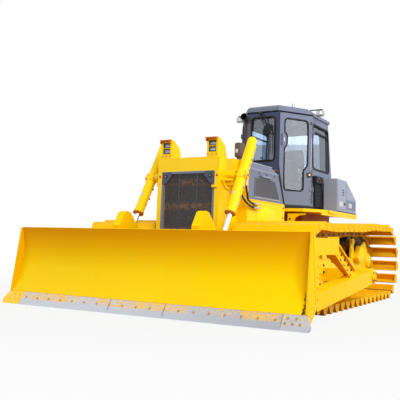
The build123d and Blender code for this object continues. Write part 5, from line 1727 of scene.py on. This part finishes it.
    def pipes(self) -> None:
        """Collars on the exhaust, its dark mouth, and the intake's bowl."""
        exhaust = Piece("exhaust_collars", DARK_STEEL)
        at = by(-0.12, station(2.68), self.top)
        exhaust.add(Shape.turned(((0.058, 0.0), (0.085, 0.0), (0.085, 0.012), (0.064, 0.02), (0.058, 0.02)),
                                 32), at)
        exhaust.add(Shape.drum(0.061, 0.3, 0.33, 32, bevel=0.002), at)
        exhaust.finished()
        profile = ((0.0, 0.374), (0.05, 0.374), (0.066, 0.37), (0.074, 0.358), (0.075, 0.34), (0.075, 0.236),
                   (0.0755, 0.232), (0.075, 0.228), (0.075, 0.19), (0.07, 0.168), (0.056, 0.16),
                   (0.042, 0.16), (0.042, 0.03), (0.07, 0.02), (0.07, 0.0), (0.0, 0.0))
        place = by(0.025, station(2.2), self.top)
        Piece("intake_bowl", BOWL_PAINT).add(Shape.turned(profile, 36), place).finished(["precleaner"], 40)
        patch = Piece("intake_patch", PATCH)
        for turn in spaced(-114, -84, 5):
            out = Vector((*arc(1.0, [turn])[0], 0))
            spot = place @ frame_at(out * 0.0745 + Vector((0, 0, 0.25)), (0, 0, 1), out)
            patch.add(Shape.block(0.028, 0.0055, (-0.001, 0.002)), spot)
        patch.finished(slot="intake_paint")


@dataclass
class Cab:
    """Everything that dresses the cab: seals, trim, lamps, wiper and the operator's place."""

    foot: float = 1.372
    top: float = 2.92
    roof: float = 3.01
    front_corner: Flat = (0.27, station(2.975))
    mid_corner: Flat = (0.64, station(3.493))
    rear_corner: Flat = (0.64, station(4.5))
    side_lean: float = 1.8
    rear_lean: float = 7.5
    door_skin: float = 0.028

    def __post_init__(self) -> None:
        """Sets the door's length and the frames on the walls' outer faces; the front and back lie across."""
        (front_x, front_y), (rear_x, rear_y) = self.front_corner, self.rear_corner
        self.door_length = math.dist(self.front_corner, self.mid_corner)
        self.front_wall = self.wall((-front_x, front_y), self.front_corner, 0)
        self.door_wall = self.wall(self.front_corner, self.mid_corner, 0)
        self.side_wall = self.wall(self.mid_corner, self.rear_corner, self.side_lean)
        self.rear_wall = self.wall(self.rear_corner, (-rear_x, rear_y), self.rear_lean)

    def build(self) -> None:
        """Builds the cab's pieces."""
        self.seals()
        self.doors()
        self.roof_trim()
        self.wiper()
        self.work_lamps()
        self.seat()
        self.console()
        self.skirt()

    def wall(self, start: Flat, end: Flat, lean: float) -> Matrix:
        """Frame on a wall's outer face: X along its foot, Y up it, Z outwards.

        Args:
            start: the corner at the start of its foot.
            end: the corner at the end of its foot.
            lean: how far the wall leans back, in degrees.

        Returns:
            The frame.
        """
        along = Vector((end[0] - start[0], end[1] - start[1], 0)).normalized()
        tilt = math.radians(lean)
        out = Vector((along.y * math.cos(tilt), -along.x * math.cos(tilt), math.sin(tilt)))
        return frame_at((*start, self.foot), along, out)

    def foot_walls(self) -> tuple[tuple[Matrix, float, bool], ...]:
        """The front, door and side walls' frames, lengths, and whether each has a twin on the right."""
        return ((self.front_wall, 2 * self.front_corner[0], False), (self.door_wall, self.door_length, True),
                (self.side_wall, math.dist(self.mid_corner, self.rear_corner), True))

    def pane(self, left: float, right: float, low: float, high: float, cut: float = 0.04) -> list[Flat]:
        """Outline of a window with cut corners.

        Args:
            left: its left edge.
            right: its right edge.
            low: its foot, over the ground.
            high: its top, over the ground.
            cut: size of the cut corners.

        Returns:
            The corners.
        """
        low, high = low - self.foot, high - self.foot
        return [(left, low + cut), (left, high - cut), (left + cut, high), (right - cut, high),
                (right, high - cut), (right, low + cut), (right - cut, low), (left + cut, low)]

    def door_pane(self) -> list[Flat]:
        """Outline of the door's window, with the notch for the handle.

        Returns:
            The corners.
        """
        front, rear, low, high = 0.096, self.door_length - 0.1, 0.288, 1.438
        return [(front + 0.022, low), (front, low + 0.06), (front, high - 0.48),
                (front + 0.048, high - 0.43), (front + 0.048, high - 0.28), (front, high - 0.23),
                (front, high - 0.04), (front + 0.043, high), (rear - 0.043, high), (rear, high - 0.04),
                (rear, high - 0.73), (rear - 0.075, high - 0.82), (rear - 0.075, low + 0.04),
                (rear - 0.107, low)]

    def seals(self) -> None:
        """Rubber seals round the fixed windows and the bar across the side windows."""
        seals = Piece("window_seals", SEAL)
        lift = by(0, 0, -0.006)
        front = self.pane(0.055, 0.485, 2.12, 2.83)
        side = self.pane(0.08, 0.801, 2.05, 2.8)
        rear = self.pane(self.rear_corner[0] - 0.43, self.rear_corner[0] + 0.43, 1.95, 2.79)
        panes = ((front, self.front_wall, False), (side, self.side_wall, True),
                 (rear, self.rear_wall, False))
        for outline, wall, both in panes:
            ring = Shape.ring(outline, 0.032, 0.014, 0.004, rounding=0.022, grow=0.012)
            seals.add(ring, wall @ lift, both=both)
        bar = Shape.block((0.09, 0.79), (2.66 - self.foot, 2.69 - self.foot), (-0.03, 0.004), 0.004)
        seals.pair(bar, self.side_wall).finished()

    def doors(self) -> None:
        """Seal, handle, latch, hinge covers and bolts of each door."""
        rear = self.door_length - 0.014
        for side in Side:
            body = Body(f"cab_door_{side.word}")
            turn = Matrix.Identity(4) if side is Side.LEFT else MIRROR
            skin = turn @ self.door_wall @ by(0, 0, self.door_skin)
            seal = Shape.ring(self.door_pane(), 0.024, 0.012, 0.003, rounding=0.02, grow=0.008)
            Piece(f"door_seal_{side.word}", SEAL, body).add(seal, skin @ by(0, 0, -0.008)).finished()
            handle = Piece(f"door_handle_{side.word}", ZINC, body)
            handle.add(Shape.block((0.048, 0.067), (1.005, 1.175), (0.02, 0.027), 0.003, 2), skin)
            handle.add(Shape.block((0.05, 0.1), (1.06, 1.12), (-0.002, 0.006), 0.002), skin)
            handle.finished()
            latch = Piece(f"door_latch_{side.word}", PLASTIC, body)
            centre = by(rear - 0.066, 0.56, 0)
            latch.add(Shape.drum(0.044, 0.0, 0.018, 24, bevel=0.004), skin @ centre)
            latch.add(Shape.block((rear - 0.012, rear - 0.002), (0.1, 1.4), (-0.002, 0.004), 0.001), skin)
            for height in (1.24, 1.37):
                hinge = Shape.block((rear - 0.05, rear - 0.022), (height, height + 0.06), (-0.002, 0.004),
                                    0.001)
                latch.add(hinge, skin)
            latch.finished()
            lock = Shape.drum(0.016, 0.016, 0.023, 16)
            Piece(f"door_lock_{side.word}", BRASS, body).add(lock, skin @ centre).finished()
            plate = Shape.block((rear - 0.034, rear - 0.02), (0.64, 1.16), (-0.001, 0.005), 0.002)
            Piece(f"door_plate_{side.word}", PALE_GREY, body).add(plate, skin).finished()
            spots = [(rear - 0.03, height) for height in (0.13, 0.17, 0.21, 0.3, 0.34)]
            spots += [(rear - 0.06, 0.46), (rear - 0.03, 0.46)]
            places = [skin @ by(*spot, 0) for spot in spots]
            bolts = Piece(f"door_bolts_{side.word}", DARK_BOLT, body)
            bolts.add(Shape.bolt(0.013, 0.006), places).finished()

    def roof_trim(self) -> None:
        """Gutter under the roof and the small lamp over the left door."""
        gutter = Piece("roof_gutter", SEAL)
        high = self.top - self.foot
        for wall, length, both in self.foot_walls()[:2]:
            strip = Shape.block((0.01, length - 0.01), (high - 0.016, high), (0.0, 0.022), 0.004)
            gutter.add(strip, wall, both=both)
        gutter.finished()
        light = Piece("roof_light_shell", LIGHT_BLUE)
        at = by(0.34, station(3.36), self.roof)
        profile = ((0.0, 0.099), (0.014, 0.099), (0.02, 0.094), (0.022, 0.084), (0.022, 0.044),
                   (0.019, 0.04), (0.019, 0.022), (0.022, 0.018), (0.022, 0.0), (0.0, 0.0))
        light.add(Shape.turned(profile, 24), at).finished(["roof_light"])
        base = Shape.drum(0.034, -0.001, 0.012, 20, bevel=0.003)
        Piece("roof_light_base", PLASTIC).add(base, at).finished()

    def wiper(self) -> None:
        """Lattice wiper arm on the windscreen, hung from the top, with its blade."""
        wiper = Piece("wiper", PLASTIC)
        wall = self.front_wall
        start, end = Vector((0.2, 2.9 - self.foot, 0.03)), Vector((0.37, 2.56 - self.foot, 0.03))
        across = Vector((0.052, 0, 0))
        for shift in (0, 1):
            wiper.add(Shape.rod(wall @ (start + across * shift), wall @ (end + across * shift), 0.0095, 8))
        for share in spaced(0.04, 0.96, 7):
            spot = start.lerp(end, share)
            wiper.add(Shape.rod(wall @ spot, wall @ (spot + across), 0.007, 6))
        wiper.add(Shape.block((0.19, 0.26), (2.885 - self.foot, 2.92 - self.foot), (0.0, 0.038), 0.006, 2),
                  wall)
        ends = [wall @ Vector((0.41, height - self.foot, 0.016)) for height in (2.7, 2.24)]
        wiper.add(Shape.rod(*ends, 0.007, 8)).finished()

    def work_lamps(self) -> None:
        """Work lamps' shells, lenses and brackets, and the slim rods beside the cab."""
        x, y = self.mid_corner[0] + 0.107, self.mid_corner[1] + 0.046
        shell = Shape.block((x - 0.062, x + 0.062), (y - 0.036, y + 0.038), (2.907, 2.996), 0.014, 2)
        Piece("work_lamp_shells", LAMP_SHELL).pair(shell).finished(["work_lamps"])
        lens = Shape.block((x - 0.048, x + 0.048), (y - 0.039, y - 0.03), (2.918, 2.985), 0.004, 2)
        Piece("work_lamp_lenses", LAMP).pair(lens).finished()
        arms = Piece("work_lamp_arms", PLASTIC)
        arms.pair(Shape.block((x - 0.19, x + 0.04), (y - 0.018, y + 0.018), (3.009, 3.021), 0.003))
        arms.pair(Shape.block((x - 0.02, x + 0.02), (y - 0.014, y + 0.014), (2.99, 3.012), 0.003))
        arms.finished()
        side = self.side_wall
        low, high = 2.55 - self.foot, 2.88 - self.foot
        rod = Shape.rod(side @ Vector((0.04, low, 0.03)), side @ Vector((0.04, high, 0.03)), 0.007, 10)
        for height in (low + 0.01, high - 0.01):
            foot, head = (side @ Vector((0.04, height, out)) for out in (-0.002, 0.03))
            rod.joined(Shape.rod(foot, head, 0.006, 8))
        Piece("cab_rods", DARK_BOLT).pair(rod).finished()

    def seat(self) -> None:
        """Sprung base with two padded cushions and arm rests."""
        y = station(3.7)
        base = Piece("seat_base", PLASTIC)
        base.add(Shape.block(0.19, (y + 0.04, y + 0.44), (self.foot + 0.04, 1.56), 0.01))
        for height in spaced(1.58, 1.74, 5):
            base.add(Shape.block(0.17, (y + 0.06, y + 0.42), (height - 0.014, height + 0.014), 0.01))
        base.add(Shape.block(0.21, (y + 0.03, y + 0.46), (1.76, 1.79), 0.006))
        base.pair(Shape.block((0.26, 0.32), (y + 0.14, y + 0.46), (2.0, 2.04), 0.012, 2))
        base.pair(Shape.rod((0.29, y + 0.44, 1.8), (0.29, y + 0.44, 2.01), 0.014))
        base.pair(Shape.block((0.28, 0.4), (y - 0.08, y + 0.36), (1.56, 1.9), 0.02, 2))
        for height in (2.26, 2.36):
            base.add(Shape.block(0.165, (y + 0.422, y + 0.44), (height - 0.008, height + 0.008), 0.004))
        base.finished()
        levers = Piece("side_levers", ZINC)
        knobs = Piece("side_lever_knobs", PALE_GREY)
        for step, height in ((0.0, 2.06), (0.09, 2.02), (0.18, 2.05)):
            top = (0.335, y - 0.06 + step, height)
            levers.pair(Shape.rod((0.33, y - 0.03 + step, 1.88), top, 0.007, 8))
            knobs.pair(Shape.ball(0.02, top, 12))
        levers.finished()
        knobs.finished()
        self.cushion("seat_cushion", (0.5, 0.5, 0.12), (0.0, y + 0.25, 1.84), stands=True)
        self.cushion("seat_back", (0.38, 0.11, 0.58), (0.0, y + 0.485, 2.19), stands=False)

    @staticmethod
    def cushion(name: str, size: Point, centre: Point, stands: bool) -> None:
        """Crowned cushion with pulled-in sides and two sewn channels.

        Args:
            name: the piece's name.
            size: its box.
            centre: the box's centre.
            stands: whether it stands for the frame's seat.
        """
        made = bmesh.new()
        bmesh.ops.create_cube(made, size=1.0)
        bmesh.ops.subdivide_edges(made, edges=made.edges[:], cuts=7, use_grid_fill=True)
        flat = min(range(3), key=lambda index: size[index])
        wide = [index for index in range(3) if index != flat]
        for vert in made.verts:
            across, along = vert.co[wide[0]] * 2, vert.co[wide[1]] * 2
            crown = (1 - across ** 4) * (1 - along ** 4)
            channel = 0.1 if abs(abs(across) - 0.5) < 0.06 else 0.0
            vert.co[flat] *= 0.62 + 0.38 * crown - channel
            for own, other in ((wide[0], along), (wide[1], across)):
                vert.co[own] *= 0.965 + 0.035 * abs(other) ** 2
            if wide[1] == 2:
                vert.co[wide[0]] *= 1 - 0.22 * max(along, 0) ** 4
        matrix = by(*centre) @ Matrix.Diagonal((*size, 1))
        bmesh.ops.transform(made, matrix=matrix, verts=made.verts[:])
        cushion = meshed(name, made)
        rounding = cushion.modifiers.new("rounding", "SUBSURF")
        rounding.levels = rounding.render_levels = 2
        settle(cushion, CLOTH, Body.CHASSIS, ["seat"] if stands else [])

    def console(self) -> None:
        """Instrument stand with its panel, levers and knobs."""
        y = station(3.035)
        stand = Piece("instrument_stand", PLASTIC)
        outline = ((0.02, self.foot + 0.04), (0, 1.96), (0.03, 2.04), (0.1, 2.03), (0.17, 1.9),
                   (0.15, self.foot + 0.04))
        stand.add(Shape.slab(outline, 0.37, 0.012, 2), side_on(-0.185, y))
        stand.pair(Shape.rod((0.11, y + 0.11, 2.0), (0.11, y + 0.12, 2.19), 0.009))
        stand.pair(Shape.ball(0.026, (0.11, y + 0.12, 2.2)))
        stand.finished(["console"])
        panel = frame_at((0, y + 0.135, 1.972), (1, 0, 0), (0, 0.88, 0.47))
        spots = [panel @ by(x, 0, 0.0) for x in (-0.12, -0.04, 0.04, 0.12)]
        Piece("dials", LAMP).add(Shape.drum(0.03, -0.004, 0.006, 20, bevel=0.002), spots).finished()

    def skirt(self) -> None:
        """Dark band round the cab's foot, and the marks and slots on the step boxes."""
        band = Piece("cab_skirt", CHARCOAL)
        for wall, length, both in self.foot_walls():
            band.add(Shape.block((0.0, length), (0.002, 0.055), (-0.004, 0.01), 0.002), wall, both=both)
        band.finished()
        slots = Piece("step_slots", PLASTIC)
        for height in (0.14, 0.2, 0.26, 0.32):
            slots.pair(Shape.block((0.1, 0.34), (height, height + 0.03), (0.036, 0.043), 0.002),
                       self.side_wall)
        slots.finished()
        marks = Piece("step_box_marks", RUST_BOLT)
        for along, height in ((0.1, 0.47), (0.16, 0.52), (0.22, 0.475), (0.29, 0.515), (0.33, 0.47)):
            mark = Shape.block((along, along + 0.022), (height, height + 0.014), (0.068, 0.0725), 0.001)
            marks.pair(mark, self.side_wall)
        marks.finished(slot="black_plastic")


@dataclass
class Rear:
    """Details of the rear boxes, the tank and the rear case."""

    out: float = 0.93
    rear: float = station(4.85)

    def build(self) -> None:
        """Builds the rear's small pieces."""
        self.deck_brackets()
        self.boxes()
        self.tank()
        self.case()

    def deck_brackets(self) -> None:
        """Arched plates that carry the deck's front corners on the frame, with their bolts."""
        place = frame_at((0, station(2.995), 0), (1, 0, 0), (0, -1, 0))
        arch = ((0.462, 1.0), (0.555, 1.0), (0.565, 1.16), (0.59, 1.225), (0.66, 1.262), (0.76, 1.275),
                (0.76, 1.291), (0.462, 1.291))
        Piece("deck_brackets", YELLOW).pair(Shape.slab(arch, 0.024, 0.003), place).finished()
        spots = [place @ by(0.5, height, 0.024) for height in (1.05, 1.13, 1.21)]
        Piece("deck_bracket_bolts", DARK_BOLT).pair(Shape.bolt(0.024), spots).finished()

    def boxes(self) -> None:
        """Panel edges, slots, blank plates and latches on the rear side boxes."""
        panels = Piece("rear_box_panels", REAR_GREY)
        y0 = station(3.87)
        skin = side_on(self.out, y0)
        front = ((0.03, 1.43), (0.03, 1.88), (0.42, 1.88), (0.42, 1.43))
        back = ((0.45, 1.43), (0.45, 1.875), (0.92, 1.62), (0.95, 1.59), (0.95, 1.43))
        for outline in (front, back):
            panels.pair(Shape.slab(outline, 0.008, 0.004), skin)
        panels.finished()
        slots = Piece("rear_box_slots", PLASTIC)
        for height in (1.66, 1.7, 1.74):
            slots.pair(Shape.block((0.24, 0.34), (height, height + 0.02), (0.004, 0.0095), 0.002), skin)
        slots.pair(Shape.drum(0.02, 0.007, 0.019, 16, bevel=0.002), skin @ by(0.36, 1.52, 0)).finished()
        plates = Piece("blank_plates", PATCH)
        for along in (0.1, 0.56):
            plates.pair(Shape.block((along, along + 0.16), (1.47, 1.55), (0.006, 0.0125), 0.001), skin)
        plates.finished(slot="grey_paint")
        low = ((0.47, 1.445), (0.47, 1.6), (0.925, 1.6), (0.94, 1.585), (0.94, 1.445))
        Piece("rear_box_foot", GREY).pair(Shape.slab(low, 0.0105, 0.002), skin).finished()
        strip = Shape.block((self.out - 0.002, self.out + 0.009), (y0, self.rear), (1.374, 1.394), 0.002)
        Piece("rear_box_skirt", DARK_GREY).pair(strip).finished()

    def tank(self) -> None:
        """Filler cap, seams, grab rail and lamps of the tank at the back."""
        profile = ((0.0, 0.05), (0.04, 0.05), (0.052, 0.042), (0.054, 0.012), (0.064, 0.01), (0.066, 0.0),
                   (0.0, 0.0))
        cap = Shape.turned(profile, 28)
        Piece("tank_cap", PLASTIC).add(cap, by(0.42, station(4.57), 1.789)).finished()
        seams = Piece("tank_straps", DARK_GREY)
        for x in (-0.5, 0.0, 0.5):
            strap = Shape.block((x - 0.025, x + 0.025), (self.rear - 0.002, self.rear + 0.006), (1.38, 1.61),
                                0.002)
            seams.add(strap)
        seams.finished()
        spots = rows([(x, self.rear, 1.55) for x in (-0.8, 0.8)], (1, 0, 0), (0, 1, 0))
        Piece("rear_lamps", AMBER).add(Shape.block(0.05, 0.03, (-0.001, 0.025), 0.006, 2), spots).finished()
        rail = Piece("tank_rail", YELLOW)
        rail.add(Shape.rod((-0.3, self.rear + 0.04, 1.5), (0.3, self.rear + 0.04, 1.5), 0.014, 14))
        rail.pair(Shape.rod((0.28, self.rear - 0.001, 1.5), (0.28, self.rear + 0.04, 1.5), 0.012, 12))
        rail.finished()

    def case(self) -> None:
        """Covers and bolts on the back of the rear case, and the deck's edge."""
        place = frame_at((0, self.rear, 0), (-1, 0, 0), (0, 1, 0))
        covers = Piece("case_covers", YELLOW)
        covers.add(Shape.drum(0.15, -0.002, 0.02, 40, bevel=0.004), place @ by(0, 0.94, 0))
        covers.add(Shape.block(0.2, (1.14, 1.26), (-0.002, 0.016), 0.004), place).finished()
        ring = [(x, 0.94 + z, 0.02) for x, z in circle(0.125, 12)]
        ring += [(x, z, 0.016) for x in (-0.17, 0.0, 0.17) for z in (1.16, 1.24)]
        ring += [(x, z, 0.0) for x in (-0.36, 0.36) for z in (0.55, 0.67)]
        places = [place @ by(*spot) for spot in ring]
        Piece("case_bolts", DARK_BOLT).add(Shape.bolt(0.024), places).finished()
        edge = Shape.block((0.938, 0.948), (station(3.5), self.rear), (1.326, 1.37), 0.003)
        Piece("deck_edge", YELLOW).pair(edge).finished()


@dataclass
class Studio:
    """Floor, light and camera."""

    eye: Point = (4.216, -7.765, 0.826)
    yaw: float = 0.471
    pitch: float = 0.1126
    roll: float = 0.0264
    lens: float = 52.405
    shift: Flat = (-0.1669, -0.0559)
    glow: float = 0.42

    def build(self) -> None:
        """Sets up the stage round the camera."""
        self.floor()
        self.sky()
        self.lamps()

    def floor(self) -> None:
        """Pale floor that shows white to the camera and keeps the machine's shadow."""
        made = bmesh.new()
        bmesh.ops.create_grid(made, x_segments=1, y_segments=1, size=60.0)
        floor = meshed("floor", made)
        graph = Graph.of_material("floor_white")
        graph.set(Base_Color=(0.36, 0.36, 0.36), Roughness=0.9, Specular_IOR_Level=0.0)
        seen = self.seen(graph)
        away = (graph.axis("X") ** 2 + graph.axis("Y") ** 2) ** 0.5
        share = away.ramp(3.4, 7.5) * 0.1 + 0.9
        white = graph.node("ShaderNodeEmission", values={"Color": (1, 1, 1), "Strength": 1.0})
        own = Value(graph, graph.shader.outputs[0])
        mixed = graph.node("ShaderNodeMixShader", values={0: seen * share, 1: own, 2: white})
        graph.put(graph.output.inputs["Surface"], mixed)
        floor.data.materials.append(graph.owner)

    @staticmethod
    def seen(graph: Graph) -> Value:
        """1 for rays that look, reflect or pass, 0 for rays that light.

        Args:
            graph: the node tree.

        Returns:
            The share.
        """
        looks = [graph.node("ShaderNodeLightPath", output=f"Is {kind} Ray") for kind in
                 ("Camera", "Glossy", "Transmission")]
        return (looks[0] + looks[1] + looks[2]).held()

    def sky(self) -> None:
        """White to look at, softer as light."""
        world = bpy.context.scene.world = bpy.data.worlds.new("studio_sky")
        graph = Graph(world, "ShaderNodeBackground", "ShaderNodeOutputWorld")
        graph.set(Color=(1.0, 1.0, 1.0), Strength=self.seen(graph) * (1.0 - self.glow) + self.glow)

    def lamps(self) -> None:
        """Large soft key from the front, weaker fills from the sides and behind."""
        table = (
            # name, place, size, power, colour
            ("key", (8.0, -8.0, 7.0), 6.0, 980.0, (1.0, 0.98, 0.95)),
            ("fill_left", (10.0, 2.0, 5.0), 6.0, 600.0, (0.97, 0.98, 1.0)),
            ("fill_right", (-7.0, -8.0, 5.0), 6.0, 260.0, (1.0, 1.0, 1.0)),
            ("back", (-3.0, 10.0, 7.0), 6.0, 250.0, (1.0, 1.0, 1.0)),
        )
        for name, place, size, power, colour in table:
            lamp = bpy.data.lights.new(name, "AREA")
            lamp.size = size
            lamp.energy = power
            lamp.color = colour
            aim = Vector((0, 0, 1.0)) - Vector(place)
            turn = aim.to_track_quat("-Z", "Y").to_matrix().to_4x4()
            linked(name, lamp).matrix_world = by(*place) @ turn

    def camera(self) -> None:
        """Places the camera."""
        back = Vector((math.sin(self.yaw) * math.cos(self.pitch), -math.cos(self.yaw) * math.cos(self.pitch),
                       -math.sin(self.pitch)))
        level = Vector((math.cos(self.yaw), math.sin(self.yaw), 0.0))
        up = back.cross(level)
        right = level * math.cos(self.roll) + up * math.sin(self.roll)
        top = up * math.cos(self.roll) - level * math.sin(self.roll)
        data = bpy.data.cameras.new("view")
        data.sensor_width = 36.0
        data.lens = self.lens
        data.shift_x, data.shift_y = self.shift
        data.clip_end = 200.0
        camera = bpy.context.scene.camera = linked("view", data)
        camera.matrix_world = by(*self.eye) @ Matrix((right, top, back)).transposed().to_4x4()


def main() -> None:
    """Builds the pieces in order."""
    logging.basicConfig(level=logging.INFO, format="%(name)s: %(message)s")
    bpy.context.scene.view_settings.view_transform = "Standard"
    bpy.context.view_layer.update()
    studio = Studio()
    studio.camera()
    parts = (Hoses(), Carcass(), Blade(), LiftCylinder(Side.LEFT), LiftCylinder(Side.RIGHT), Tracks(),
             Nose(), Covers(), Cab(), Rear(), studio)
    for part in parts:
        part.build()


if __name__ == "__main__":
    main()
